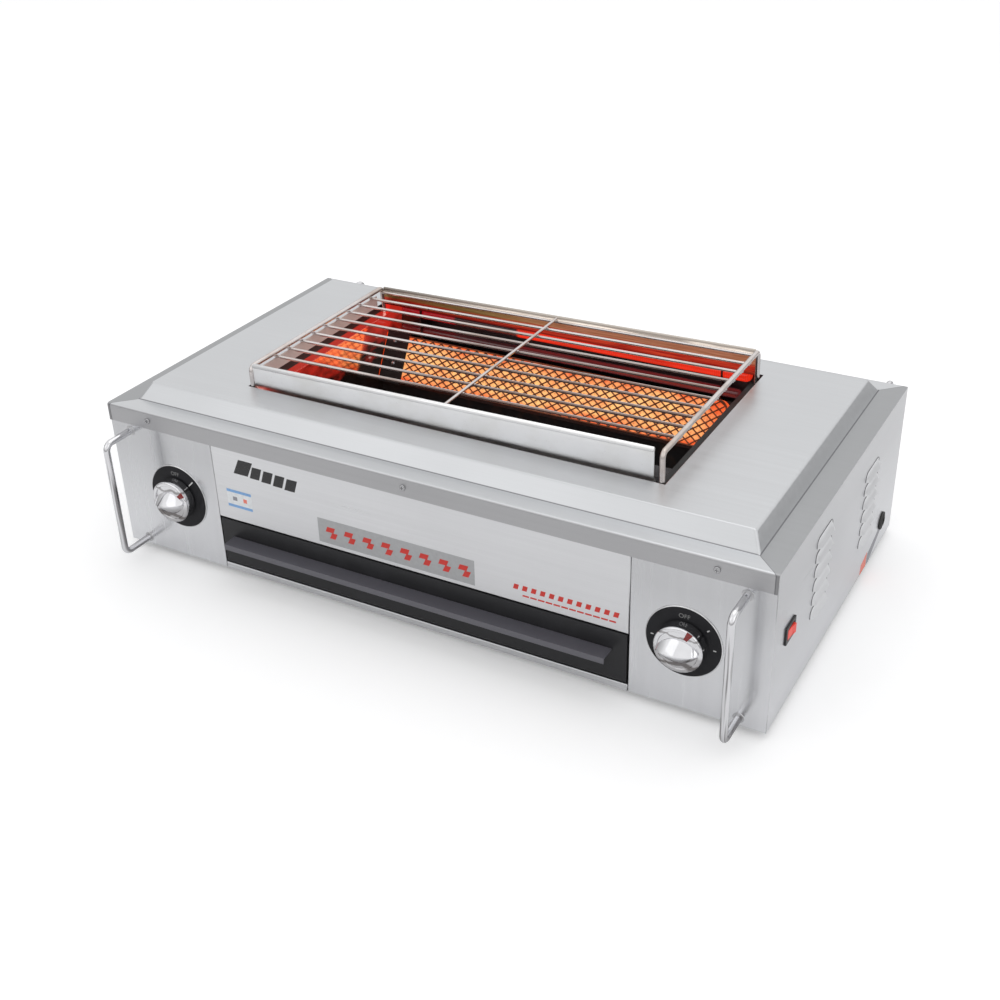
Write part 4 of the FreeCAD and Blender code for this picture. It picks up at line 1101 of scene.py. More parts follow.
# ---- geometry trees -------------------------------------------------------------
class Growth(Tree):
    """One geometry node tree with named inputs, run once into a plain mesh."""

    def __init__(self, name: str) -> None:
        """Start a tree with a geometry input and output.

        Args:
            name: The tree's name.
        """
        self.name = name
        super().__init__(bpy.data.node_groups.new(name, "GeometryNodeTree"))
        face = self.tree.interface
        face.new_socket("Geometry", in_out="INPUT", socket_type="NodeSocketGeometry")
        face.new_socket("Geometry", in_out="OUTPUT", socket_type="NodeSocketGeometry")
        self.entry = self.tree.nodes.new("NodeGroupInput")
        self.values: dict[str, object] = {}

    @property
    def sites(self) -> Socket:
        """The geometry that the tree starts from."""
        return self.entry.outputs["Geometry"]

    def size(self, name: str, value: Union[float, int]) -> Socket:
        """Add a named number to the tree's inputs.

        Args:
            name: The input's name.
            value: The number it gets; a whole number makes a whole-number input.

        Returns:
            The input's socket.
        """
        kind = "NodeSocketInt" if isinstance(value, int) else "NodeSocketFloat"
        item = self.tree.interface.new_socket(name, in_out="INPUT", socket_type=kind)
        self.values[item.identifier] = value
        return self.entry.outputs[name]

    def vector(self, across: Value = 0.0, along: Value = 0.0, up: Value = 0.0) -> Socket:
        """A vector from three numbers."""
        return self.add("ShaderNodeCombineXYZ", {0: across, 1: along, 2: up})

    def line(self, count: Value, start: Value, step: Value) -> Socket:
        """A row of points."""
        inputs = {"Count": count, "Start Location": start, "Offset": step}
        return self.add("GeometryNodeMeshLine", inputs, mode="OFFSET")

    def copies(self, points: Socket, instance: Socket, turn: Value = (0.0, 0.0, 0.0),
               scale: Value = (1.0, 1.0, 1.0)) -> Socket:
        """The same shape at every point."""
        inputs = {"Points": points, "Instance": instance, "Rotation": turn, "Scale": scale}
        return self.add("GeometryNodeInstanceOnPoints", inputs)

    def wire(self, curve: Socket, radius: Value, sides: int = 12) -> Socket:
        """A round wire with closed ends along a curve.

        Args:
            curve: The path.
            radius: The wire's radius.
            sides: Steps round it.

        Returns:
            The wire.
        """
        size = {"Resolution": sides, "Radius": radius}
        ring = self.add("GeometryNodeCurvePrimitiveCircle", size, mode="RADIUS")
        inputs = {"Curve": curve, "Profile Curve": ring, "Fill Caps": True}
        return self.add("GeometryNodeCurveToMesh", inputs)

    def bent(self, bend: Socket) -> Socket:
        """The curve along the tree's starting edges, with every corner rounded."""
        path = self.add("GeometryNodeMeshToCurve", {"Mesh": self.sites})
        return self.add("GeometryNodeFilletCurve", {"Curve": path, "Count": 8, "Radius": bend}, mode="POLY")

    def ball(self, segments: int, rings: int, radius: Value = 1.0) -> Socket:
        """A ball about the middle."""
        return self.add("GeometryNodeMeshUVSphere", {"Segments": segments, "Rings": rings, "Radius": radius})

    def join(self, *parts: Socket) -> Socket:
        """Several geometries as one.

        Args:
            *parts: The geometries.

        Returns:
            The joined geometry.
        """
        node = self.tree.nodes.new("GeometryNodeJoinGeometry")
        for part in parts:
            self.tree.links.new(part, node.inputs[0])
        return node.outputs[0]

    def moved(self, geometry: Socket, shift: Value, turn: Value = (0.0, 0.0, 0.0)) -> Socket:
        """A geometry turned, then moved."""
        inputs = {"Geometry": geometry, "Translation": shift, "Rotation": turn}
        return self.add("GeometryNodeTransform", inputs)

    def grow(self, geometry: Socket, finish: Finish, sites: Iterable[Point] = (),
             edges: Iterable[tuple[int, int]] = (), smooth: float = 0.0,
             seed: Optional[Mesh] = None) -> Mesh:
        """Close the tree, run it and give its result as a plain mesh.

        Args:
            geometry: What the tree makes.
            finish: The finish that it sets.
            sites: Points of the mesh that the tree starts from.
            edges: Edges between those points.
            smooth: As in to_mesh.
            seed: A whole mesh to start from instead.

        Returns:
            The mesh.
        """
        real = self.add("GeometryNodeRealizeInstances", {"Geometry": geometry})
        coated = self.add("GeometryNodeSetMaterial", {"Geometry": real, "Material": finish.material})
        leave = self.tree.nodes.new("NodeGroupOutput")
        self.tree.links.new(coated, leave.inputs[0])
        if seed is None:
            seed = bpy.data.meshes.new(self.name)
            seed.from_pydata([tuple(site) for site in sites], list(edges), [])
        holder = linked(self.name, seed)
        modifier = holder.modifiers.new(self.name, "NODES")
        modifier.node_group = self.tree
        for identifier, value in self.values.items():
            modifier[identifier] = value
        return smoothed(baked(holder), smooth)


def studs(name: str, sites: list[Point], radius: float, rise: float, turn: Point,
          finish: Finish) -> Mesh:
    """Domed heads at the given places.

    Args:
        name: The tree's name.
        sites: Centres of the heads' feet.
        radius: Radius of a head.
        rise: How far its crown stands out.
        turn: Turn that takes +Z to the way the heads face.
        finish: Their finish.

    Returns:
        The mesh.
    """
    growth = Growth(name)
    wide = growth.size("Head Radius", radius)
    tall = growth.size("Crown Rise", rise)
    heads = growth.copies(growth.sites, growth.ball(16, 10), turn, growth.vector(wide, wide, tall))
    return growth.grow(heads, finish, sites, smooth=60.0)


def chained(routes: list[list[Point]]) -> tuple[list[Point], list[tuple[int, int]]]:
    """All points of some open routes, and the edges that join each route's points.

    Args:
        routes: The routes, each from end to end.

    Returns:
        The points and the edges.
    """
    sites, edges = [], []
    for route in routes:
        first = len(sites)
        sites += route
        edges += [(first + k, first + k + 1) for k in range(len(route) - 1)]
    return sites, edges


def bent_wires(name: str, routes: list[list[Point]], radius: float, bend: float,
               finish: Finish) -> Mesh:
    """Round wires along routes, with every corner rounded.

    Args:
        name: The tree's name.
        routes: Each wire's corner points.
        radius: Radius of the wire.
        bend: Radius of its centre line at the corners.
        finish: Its finish.

    Returns:
        The mesh.
    """
    growth = Growth(name)
    thick = growth.size("Wire Radius", radius)
    path = growth.bent(growth.size("Bend Radius", bend))
    return growth.grow(growth.wire(path, thick, 20), finish, *chained(routes), smooth=50.0)


# ---- shell ----------------------------------------------------------------------
@dataclass
class Shell:
    """Folded steel casing: cover, front panels, sides, back and base."""

    fold: float = 2.8 * MM             # outer bends of the cover
    crease: float = 1.2 * MM           # bend at the foot of the step
    hem: float = 0.9 * MM              # rim of the cooking opening
    panel_edge: float = 1.0 * MM       # front panels' edges
    panel_corner: float = 2.0 * MM     # their outer corners
    sheet: float = 1.2 * MM
    facing_up: float = 0.6             # a normal's share from which a face counts as level
    facing_front: float = 0.8
    low: Vector = field(default_factory=lambda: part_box("top_cover")[0])
    high: Vector = field(default_factory=lambda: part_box("top_cover")[1])
    louvre_rows: int = 6
    louvre_pitch: float = 17.0 * MM
    louvre_length: float = 50.0 * MM
    louvre_height: float = 11.0 * MM
    louvre_reach: float = 4.5 * MM
    louvre_end: float = 7.0 * MM       # rounded end of a hood
    louvre_foot: float = 0.45          # share of the height that a hood's corners keep
    louvre_curl: float = 0.62          # share of a half wave in a hood's section
    louvre_columns: tuple[Span, ...] = ((-104 * MM, 167 * MM), (70 * MM, 155 * MM))    # starts and tops
    hood_thick: float = 0.8 * MM
    hood_lift: float = 0.05 * MM       # a hood's edge over the sheet
    # painted shade: thin dark wires along the hoods' upper edges
    shade_line_radius: float = 0.42 * MM      # dark line round a hood's upper edge
    shade_line_bend: float = 0.3 * MM
    shade_line_foot: float = 0.2 * MM
    slot_inset: float = 3.0 * MM       # slots under the hoods, within their length
    slot_span: Span = (0.2 * MM, 3.4 * MM)
    deck_inside: Span = (0.30, 0.16)   # between the opening's rim and the deck's outer rim
    screw_places: tuple[float, ...] = (-0.38, -0.19, 0.0, 0.19, 0.38)
    screw_inset: float = 12.0 * MM

    @property
    def flange(self) -> float:
        """Height of the cover's flange, on the side panels."""
        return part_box("side_panel_right")[1].z + self.sheet

    def build(self) -> None:
        """Make and dress every piece of the casing."""
        self.cover()
        self.front()
        for side in Side:
            self.side(side)
        self.back()
        dress("base_pan", Finishes.zinc)

    def cover(self) -> None:
        """Cover with rounded folds and a finish for each of its faces."""
        deck, flange, front = self.high.z, self.flange, self.low.y

        def level(z: float) -> Callable[[Vector, Vector], bool]:
            """Test for edges that lie at one height."""
            return lambda a, b: close(a.z, z) and close(b.z, z)

        def outside(a: Vector, b: Vector) -> bool:
            """Test for the outer rim of the deck, and not the opening's."""
            middle = (a + b) / 2
            return abs(middle.x) > self.deck_inside[0] or abs(middle.y) > self.deck_inside[1]

        def corner(a: Vector, b: Vector) -> bool:
            """Test for the step's four sloping corner edges."""
            return any(close(a.z, z) and close(b.z, w) for z, w in ((deck, flange), (flange, deck)))

        def within(a: Vector) -> bool:
            """Test for points inside the cover's outer rim."""
            return abs(a.x) < self.high.x - MM and abs(a.y) < self.high.y - MM

        folds = [
            (lambda a, b: close(a.y, front) and close(b.y, front) and level(flange)(a, b), self.fold),
            (lambda a, b: level(deck)(a, b) and outside(a, b), self.fold),
            (lambda a, b: level(deck)(a, b), self.hem),
            (corner, self.fold),
            (lambda a, b: level(flange)(a, b) and within(a) and within(b), self.crease),
        ]
        mesh = folded("top_cover", folds)
        plain, lip, opening = range(3)
        for face in mesh.polygons:
            middle, facing = face.center, face.normal
            face.material_index = plain
            if not outside(middle, middle) and facing.z < self.facing_up:
                face.material_index = opening
            # the lip's faces take the darker copy of the deck's finish: painted shade
            elif middle.y < front + 2 * self.sheet and facing.y < -self.facing_front and middle.z < flange:
                face.material_index = lip
        show("cover_folded", mesh, "housing", [Finishes.deck, Finishes.lip, Finishes.enamel],
             ("top_cover",))

    def front(self) -> None:
        """Front panels with softened edges."""
        panels = {"front_apron": Finishes.apron, "bottom_rail": Finishes.apron,
                  "control_panel_left": Finishes.control, "control_panel_right": Finishes.control}
        for node, finish in panels.items():
            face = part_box(node)[0].y

            def edge(a: Vector, b: Vector, y: float = face) -> bool:
                """Test for the long edges of the front face."""
                return close(a.y, y) and close(b.y, y) and (b - a).length > 5 * MM

            def corner(a: Vector, b: Vector) -> bool:
                """Test for the edge at the side of the casing."""
                return edge(a, b) and min(abs(a.x), abs(b.x)) > self.high.x - 3 * MM

            mesh = folded(node, [(corner, self.panel_corner), (edge, self.panel_edge)], 3)
            show(node + "_folded", mesh, "housing", [finish], (node,))

    def side(self, side: Side) -> None:
        """One side panel: a slotted sheet and two columns of pressed hoods.

        Args:
            side: Which side.
        """
        node = "side_panel_" + side.word
        low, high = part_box(node)
        face = side.value * (max(abs(low.x), abs(high.x)) - self.louvre_reach)
        inner = face - side.value * self.sheet
        sheet = bmesh.new()
        spans = sorted((face, inner))
        box_into(sheet, spans, (low.y, high.y), (low.z, high.z))
        slots = bmesh.new()
        for start, top in self.louvre_columns:
            for row in range(self.louvre_rows):
                foot = top - row * self.louvre_pitch - self.louvre_height
                along = (start + self.slot_inset, start + self.louvre_length - self.slot_inset)
                up = (foot + self.slot_span[0], foot + self.slot_span[1])
                box_into(slots, (spans[0] - MM, spans[1] + MM), along, up)
        cutter = linked("slots", to_mesh(slots, "slots"))
        cut = {"operation": "DIFFERENCE", "object": cutter, "solver": "EXACT"}
        mesh = evaluated(to_mesh(sheet, node), [("BOOLEAN", cut)])
        bpy.data.objects.remove(cutter)
        show(node + "_slotted", mesh, "housing", [Finishes.side], (node,))
        self.hoods(side, face)

    def hoods(self, side: Side, face: float) -> None:
        """Pressed hoods of the louvres: one shape at every place of the two columns, each with a thin dark
        wire of painted shade along its upper outline.

        Args:
            side: Which side.
            face: The panel's outer face along X.
        """
        shape = bmesh.new()
        steps, drops, curl = 24, 8, math.pi * self.louvre_curl
        grid = []
        for step in range(steps + 1):
            share = step / steps
            from_end = min(share, 1 - share) * self.louvre_length / self.louvre_end
            full = math.sqrt(max(0.0, 1 - (1 - min(1.0, from_end)) ** 2))
            top = self.louvre_height * (self.louvre_foot + (1 - self.louvre_foot) * full)
            column = []
            for drop in range(drops + 1):
                fall = drop / drops
                wave = (1 - math.cos(curl * fall)) / (1 - math.cos(curl))
                out = side.value * (self.louvre_reach * full * wave + self.hood_lift)
                column.append(shape.verts.new((out, share * self.louvre_length, top * (1 - fall))))
            grid.append(column)
        for left, right in zip(grid, grid[1:]):
            for row in range(drops):
                shape.faces.new((left[row], left[row + 1], right[row + 1], right[row]))
        bmesh.ops.remove_doubles(shape, verts=shape.verts, dist=DOUBLES)
        for part in shape.faces:
            part.normal_update()
        if sum(part.normal.x for part in shape.faces) * side.value < 0:
            bmesh.ops.reverse_faces(shape, faces=shape.faces)
        wall = {"thickness": self.hood_thick, "offset": -1.0}
        hood = evaluated(to_mesh(shape, "hood"), [("SOLIDIFY", wall)])
        growth = Growth("louvre_tree_" + side.word)
        rows = growth.size("Rows", self.louvre_rows)
        pitch = growth.size("Pitch", self.louvre_pitch)
        columns = [growth.line(rows, (face, start, top - self.louvre_height),
                               growth.vector(0.0, 0.0, growth.times(pitch, -1.0)))
                   for start, top in self.louvre_columns]
        placed = growth.copies(growth.join(*columns), growth.sites)
        mesh = growth.grow(placed, Finishes.hood, seed=hood, smooth=40.0)
        show("louvre_hoods_" + side.word, mesh, "housing", [])
        out = face + side.value * 0.1 * MM
        routes = [[(out, start + along, top - row * self.louvre_pitch - self.louvre_height + up)
                   for along, up in self.louvre_outline()]
                  for start, top in self.louvre_columns for row in range(self.louvre_rows)]
        mesh = bent_wires("louvre_shade_line_tree_" + side.word, routes, self.shade_line_radius, self.shade_line_bend,
                          Finishes.rim)
        show("louvre_shade_lines_" + side.word, mesh, "housing", [])

    def louvre_outline(self) -> Outline:
        """A hood's upper outline from its left foot to its right, as lengths along Y and Z.

        Returns:
            The outline.
        """
        end, low = self.louvre_end, self.louvre_foot * self.louvre_height
        squash = (self.louvre_height - low) / end
        bends = [arc((end, low), end, 180, 90, 6), arc((self.louvre_length - end, low), end, 90, 0, 6)]
        rim = [(along, low * (1 - squash) + up * squash) for bend in bends for along, up in bend]
        return [(0.0, self.shade_line_foot), *rim, (self.louvre_length, self.shade_line_foot)]

    def back(self) -> None:
        """Back sheet with the row of screws that hold it."""
        dress("rear_panel", Finishes.body)
        low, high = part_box("rear_panel")
        sites = [(x, high.y + 0.1 * MM, z) for z in (low.z + self.screw_inset, high.z - self.screw_inset)
                 for x in self.screw_places]
        mesh = studs("rear_screw_row", sites, 3.6 * MM, 1.6 * MM, (-math.pi / 2, 0.0, 0.0), Finishes.screw)
        show("rear_screws", mesh, "housing", [])


# ---- firebox --------------------------------------------------------------------
@dataclass
class Firebox:
    """Black firebox with its glowing panel, guard and quartz tubes."""

    slope: float = math.radians(61.0)
    foot: Vector = field(default_factory=lambda: Vector((0.0, 119.94 * MM, 113.57 * MM)))
    length: float = 62 * MM            # the panel up its slope
    strap_right: float = -228.1 * MM
    right: float = 220.6 * MM
    corner: float = 12 * MM
    cell_wide: float = 13.4 * MM
    cell_tall: float = 9.6 * MM
    strand: float = 1.3 * MM
    border: float = 1.0 * MM
    crooked: float = 0.035             # how far a ring may be turned, in radians
    rivets: tuple[Span, ...] = ((-248.3 * MM, 51.6 * MM), (-244.3 * MM, 22.4 * MM))

    def build(self) -> None:
        """Dress the walls and make the glowing parts."""
        for node in ("liner_front", "liner_rear", "drip_shield", "heater_channel", "heater_strap"):
            dress(node, Finishes.enamel)
        dress("reflector", Finishes.reflector)
        for side in Side:
            dress("bulkhead_" + side.word, Finishes.polished)
        dress("rack_seat_left", Finishes.polished)
        dress("rack_seat_right", Finishes.enamel)
        low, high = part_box("ceramic_panel")
        glow = GlowingCeramic("ceramic_glow", tuple((low + high) / 2), (high.x - low.x) / 2,
                              self.length / 2, self.slope)
        dress("ceramic_panel", glow)
        dress("quartz_tube_upper", Finishes.quartz)
        dress("quartz_tube_lower", Finishes.quartz_dim)
        self.guard()
        sites = [self.on_slope(across, up, 2 * MM) for across, up in self.rivets]
        mesh = studs("strap_rivet_tree", sites, 2.8 * MM, 1.6 * MM, (self.slope, 0.0, 0.0), Finishes.screw)
        show("strap_rivets", mesh, "housing", [])

    def on_slope(self, across: float, up: float, off: float) -> Point:
        """A point on the panel's slope.

        Args:
            across: Place along X.
            up: Length up the slope from the panel's foot.
            off: Height over its face.

        Returns:
            The point.
        """
        rise = Vector((0.0, math.cos(self.slope), math.sin(self.slope))) * up
        out = Vector((0.0, -math.sin(self.slope), math.cos(self.slope))) * off
        return tuple(Vector((across, 0.0, 0.0)) + self.foot + rise + out)

    def guard(self) -> None:
        """Expanded-metal guard: diamond rings on a staggered grid, and its border."""
        growth = Growth("guard_tree")
        strand = growth.size("Strand Radius", self.strand)
        wide = growth.size("Cell Width", self.cell_wide)
        tall = growth.size("Cell Height", self.cell_tall)
        seed = growth.size("Seed", 7)
        columns = int((self.right - self.strap_right) / self.cell_wide)
        rows = int(self.length / self.cell_tall)
        middle = (self.right + self.strap_right) / 2
        ring = growth.wire(growth.add("GeometryNodeMeshToCurve", {"Mesh": growth.sites}), strand, 5)
        fields = []
        for less in (0, 1):
            fields.append(growth.add("GeometryNodeMeshGrid", {
                "Size X": growth.times(wide, float(columns - 1 - less)),
                "Size Y": growth.times(tall, float(rows - 1 - less)),
                "Vertices X": columns - less, "Vertices Y": rows - less}))
        limits = {"Min": (0.0, 0.0, -self.crooked), "Max": (0.0, 0.0, self.crooked), "Seed": seed}
        turn = growth.add("FunctionNodeRandomValue", limits, data_type="FLOAT_VECTOR")
        across, up, _ = growth.parts(growth.add("GeometryNodeInputPosition", {}))
        past = [growth.minus(across, (self.right - self.strap_right) / 2 - self.corner),
                growth.minus(growth.unsigned(up), self.length / 2 - self.corner)]
        squares = [growth.maths("POWER", growth.most(item, 0.0), 2.0) for item in past]
        inside = growth.maths("LESS_THAN", growth.plus(*squares),
                              (self.corner - 0.3 * self.cell_tall) ** 2)
        rings = growth.add("GeometryNodeInstanceOnPoints", {
            "Points": growth.join(*fields), "Selection": inside, "Instance": ring, "Rotation": turn})
        centre = self.on_slope(middle, self.length / 2, self.strand)
        half_wide, half_tall = self.cell_wide / 2, self.cell_tall / 2
        diamond = [(half_wide, 0, 0), (0, half_tall, 0), (-half_wide, 0, 0), (0, -half_tall, 0)]
        mesh = growth.grow(growth.moved(rings, centre, (self.slope, 0.0, 0.0)), Finishes.guard, diamond,
                           [(0, 1), (1, 2), (2, 3), (3, 0)], smooth=70.0)
        show("guard_lattice", mesh, "housing", [], ("mesh_guard",))
        edge, start, stop = self.border, self.strap_right - 2 * self.border, self.right - self.border
        route = [self.on_slope(across, up, edge) for across, up in (
            (start, edge), (stop, edge), (stop, self.length - edge), (start, self.length - edge))]
        mesh = bent_wires("guard_border_tree", [route], edge, self.corner - edge, Finishes.guard)
        show("guard_border", mesh, "housing", [])


# ---- controls -------------------------------------------------------------------
class Dial(Enum):
    """What is printed on a dial and how its knob stands; angles are clockwise from the top."""

    LEFT = (Side.LEFT, 79.0, 55.0, (), 45.0)
    RIGHT = (Side.RIGHT, 85.0, 28.0, (50.0, 90.0, 270.0), None)

    def __init__(self, side: Side, grip: float, mark: float, ticks: tuple[float, ...],
                 line: Optional[float]) -> None:
        """Spread the value over named fields."""
        self.side, self.grip, self.mark, self.ticks, self.line = side, grip, mark, ticks, line


@dataclass
class Controls:
    """Dials, knobs, switch and what is behind them."""

    dial_x: float = 320.0 * MM
    dial_z: float = 91.0 * MM
    dial_back: float = -223.0 * MM
    dial_radius: float = 40.0 * MM
    dial_thick: float = 2.0 * MM
    knob_back: float = -226.0 * MM
    skirt_radius: float = 26.0 * MM
    skirt_rise: float = 15.0 * MM
    grip_half: float = 22.5 * MM
    grip_wide: float = 13.5 * MM
    grip_rise: float = 12.0 * MM
    grip_steps: int = 28
    mark_half: float = 3.2 * MM        # the red mark: half its width, its reach inwards and its steps
    mark_reach: float = 10.0 * MM
    mark_steps: int = 6
    tick: Point = (31.5 * MM, 34.5 * MM, 1.3 * MM)     # inner and outer radius, and width
    line: Point = (27.0 * MM, 36.5 * MM, 1.5 * MM)
    word_size: float = 7.0 * MM
    word_up: float = 30.5 * MM

    def build(self) -> None:
        """Make the dials and knobs, and dress what is behind them."""
        for dial in Dial:
            self.dial(dial)
            self.knob(dial)
            dress("knob_shaft_" + dial.side.word, Finishes.steel_pin)
            dress("regulator_" + dial.side.word, Finishes.case)
        dress("terminal_block", Finishes.case)
        dress("cable_gland", Finishes.rubber)
        self.switch()

    def facing(self, dial: Dial, back: float) -> Matrix:
        """Places a shape drawn with +X right, +Y up and +Z outward on the front at a dial."""
        turn = Matrix.Rotation(math.radians(90), 4, "X")
        return Matrix.Translation((dial.side.value * self.dial_x, back, self.dial_z)) @ turn

    @staticmethod
    def spot(angle: float, radius: float) -> tuple[float, float]:
        """Point at a clockwise angle from the top."""
        return radius * math.sin(math.radians(angle)), radius * math.cos(math.radians(angle))

    def dial(self, dial: Dial) -> None:
        """Black disc with its bright rim and white print.

        Args:
            dial: Which dial.
        """
        word, radius, thick = dial.side.word, self.dial_radius, self.dial_thick
        node = "dial_plate_" + word
        ease = 0.9 * MM
        profile = [(0, 0), (radius - 0.4 * MM, 0), *arc((radius - ease, thick - ease), ease, 0, 90),
                   (0, thick)]
        disc = turned(profile)
        disc.transform(self.facing(dial, self.dial_back))
        show("dial_disc_" + word, to_mesh(disc, node, 40.0), "housing", [Finishes.dial],
             (node,))
        inner, outer, brow, rise = radius - 0.3 * MM, radius + 0.9 * MM, radius + 0.4 * MM, 1.3 * MM
        rim = turned([(inner, 0), (outer, 0), (outer, 0.8 * MM), (brow, rise), (inner, rise), (inner, 0)])
        bmesh.ops.remove_doubles(rim, verts=rim.verts, dist=DOUBLES)
        rim.transform(self.facing(dial, self.dial_back))
        show("dial_rim_" + word, to_mesh(rim, "rim", 30.0), "housing", [Finishes.dial_edge])
        marks = bmesh.new()
        for angle in dial.ticks:
            self.bar(marks, angle, *self.tick, thick)
        if dial.line is not None:
            self.bar(marks, dial.line, *self.line, thick)
        marks.transform(self.facing(dial, self.dial_back))
        show("dial_marks_" + word, to_mesh(marks, "marks"), "housing", [Finishes.print_white])
        word_mesh = self.lettering("OFF", self.word_size)
        word_mesh.transform(self.facing(dial, self.dial_back) @ Matrix.Translation((0, self.word_up, thick)))
        show("dial_word_" + word, word_mesh, "housing", [Finishes.print_grey])

    @staticmethod
    def lettering(text: str, size: float) -> Mesh:
        """Raised plain lettering, centred on its middle.

        Args:
            text: What it says.
            size: Height of the letters.

        Returns:
            The mesh.
        """
        curve = bpy.data.curves.new("lettering", "FONT")
        curve.body, curve.size, curve.extrude = text, size, 0.06 * MM
        curve.align_x, curve.align_y = "CENTER", "CENTER"
        return baked(linked("lettering", curve))

    @staticmethod
    def bar(bm: Shape, angle: float, start: float, end: float, wide: float,
            foot: float) -> None:
        """Add a thin radial bar.

        Args:
            bm: Where to add it.
            angle: Clockwise angle from the top.
            start: Inner radius.
            end: Outer radius.
            wide: Its width.
            foot: Height that it lies on.
        """
        made = bmesh.ops.create_cube(bm, size=1.0)
        shape = Matrix.Rotation(-math.radians(angle), 4, "Z") @ Matrix.Translation(
            (0, (start + end) / 2, foot)) @ Matrix.Diagonal((wide, end - start, 0.16 * MM, 1))
        bmesh.ops.transform(bm, matrix=shape, verts=made["verts"])

    def skirt_profile(self) -> Outline:
        """Radius and height of the knob's skirt, from its foot to the middle of its face.

        Returns:
            The profile.
        """
        radius, rise = self.skirt_radius, self.skirt_rise
        return [(0, 0), (radius - 0.9 * MM, 0), (radius, 0.9 * MM), (radius, rise - 2.6 * MM),
                *arc((radius - 2.2 * MM, rise - 2.2 * MM), 2.2 * MM, 8, 90, 5),
                (radius - 4.4 * MM, rise - 0.1 * MM), (radius - 5.2 * MM, rise - 0.9 * MM),
                (radius - 6.2 * MM, rise - 0.7 * MM), (0, rise - 0.2 * MM)]

    def knob(self, dial: Dial) -> None:
        """Chromed knob: turned skirt, lens-shaped grip with an arched ridge, and its red mark.

        Args:
            dial: The dial it stands on.
        """
        word = dial.side.word
        body = word + "_knob"
        node = "knob_" + word
        place = self.facing(dial, self.knob_back)
        skirt = turned(self.skirt_profile())
        skirt.transform(place)
        show("knob_skirt_" + word, to_mesh(skirt, node, 28.0), body, [Finishes.knob],
             (node,))
        grip = self.grip()
        grip.transform(place @ Matrix.Rotation(-math.radians(dial.grip), 4, "Z"))
        show("knob_grip_" + word, to_mesh(grip, "grip", 26.0), body, [Finishes.knob])
        mark = self.mark()
        mark.transform(place @ Matrix.Rotation(-math.radians(dial.mark), 4, "Z"))
        show("knob_mark_" + word, to_mesh(mark, "mark", 40.0), body, [Finishes.mark_red])

    def grip(self) -> Shape:
        """Grip along +Y: sections across it, each wider and taller towards its middle.

        Returns:
            The grip.
        """
        bm = bmesh.new()
        foot = self.skirt_rise - 1.0 * MM
        rings = []
        for step in range(1, self.grip_steps):
            share = -math.cos(math.pi * step / self.grip_steps)
            full = 1 - share * share
            wide = max(0.6 * MM, self.grip_wide * full ** 0.75)
            crown = self.skirt_rise + 1.5 * MM + (self.grip_rise - 1.5 * MM) * full ** 0.6
            ridge = 0.5 * MM + 0.9 * MM * full
            along = self.grip_half * share
            half = [(wide, foot), (wide, foot + 1.6 * MM), (0.80 * wide, foot + 0.36 * (crown - foot)),
                    (ridge, crown - 0.4 * MM), (0.5 * ridge, crown)]
            section = half + [(-across, up) for across, up in reversed(half)]
            rings.append([bm.verts.new((across, along, up)) for across, up in section])
        return skinned(bm, rings)

    def mark(self) -> Shape:
        """Red mark towards +Y that follows the skirt's edge and face.

        Returns:
            The mark.
        """
        outer = self.skirt_profile()[5:-1]
        outer.append((self.skirt_radius - self.mark_reach, self.skirt_rise - 0.55 * MM))
        lift, sink, tuck = 0.2 * MM, 1.0 * MM, 0.3 * MM
        above = [(radius + lift, up + lift) for radius, up in outer]
        below = [(radius - tuck, up - sink) for radius, up in reversed(outer)]
        half = math.degrees(self.mark_half / self.skirt_radius)
        bm = bmesh.new()
        rings = []
        for step in range(self.mark_steps + 1):
            angle = -half + 2 * half * step / self.mark_steps
            ring = [(*self.spot(angle, radius), up) for radius, up in above + below]
            rings.append([bm.verts.new(corner) for corner in ring])
        return skinned(bm, rings)

    def switch(self) -> None:
        """Rocker switch: eased frame and rocker."""
        show("switch_frame", rounded("switch_housing", 0.5 * MM), "housing", [Finishes.bezel],
             ("switch_housing",))
        show("rocker_eased", rounded("rocker", 0.4 * MM), "switch_rocker", [Finishes.rocker],
             ("rocker",))


@dataclass
class Fittings:
    """Handles, lip screws and feet."""

    handle_x: float = 381.0 * MM
    face: float = 223.0 * MM
    reach: float = 42.0 * MM
    low: float = 18.0 * MM
    high: float = 164.0 * MM
    rear_lift: float = 14.0 * MM
    radius: float = 4.0 * MM
    bend: float = 9.0 * MM

    def build(self) -> None:
        """Make the handles and dress the rest."""
        for end, way, lift in (("front", -1, 0.0), ("rear", 1, self.rear_lift)):
            for side in Side:
                self.handle(end, way, lift, side)
                dress("foot_%s_%s" % (end, side.word), Finishes.rubber)
        for index in (1, 2, 3):
            dress("lip_screw_%d" % index, Finishes.screw)

    def handle(self, end: str, way: int, lift: float, side: Side) -> None:
        """One bent handle with the two bushes that it passes through.

        Args:
            end: Front or rear.
            way: Sign of its reach along Y.
            lift: How far it sits over the front pair.
            side: Which side.
        """
        node = "handle_%s_%s" % (end, side.word)
        across, inner, outer = side.value * self.handle_x, way * self.face, way * (self.face + self.reach)
        low, high = self.low + lift, self.high + lift
        route = [(across, inner, low), (across, outer, low), (across, outer, high), (across, inner, high)]
        mesh = bent_wires(node + "_tree", [route], self.radius, self.bend, Finishes.handle)
        show(node + "_bent", mesh, "housing", [], (node,))
        foot, brim, crown = self.radius - 0.2 * MM, self.radius + 2.2 * MM, self.radius + 1.8 * MM
        rise = 0.7 * MM
        profile = [(foot, 0), (brim, 0), (crown, rise), (foot, rise), (foot, 0)]
        bushes = pooled(turned(profile, (across, inner, height), (0, way, 0), 32) for height in (low, high))
        bmesh.ops.remove_doubles(bushes, verts=bushes.verts, dist=DOUBLES)
        show(node + "_bushes", to_mesh(bushes, "bushes", 30.0), "housing", [Finishes.steel_pin])


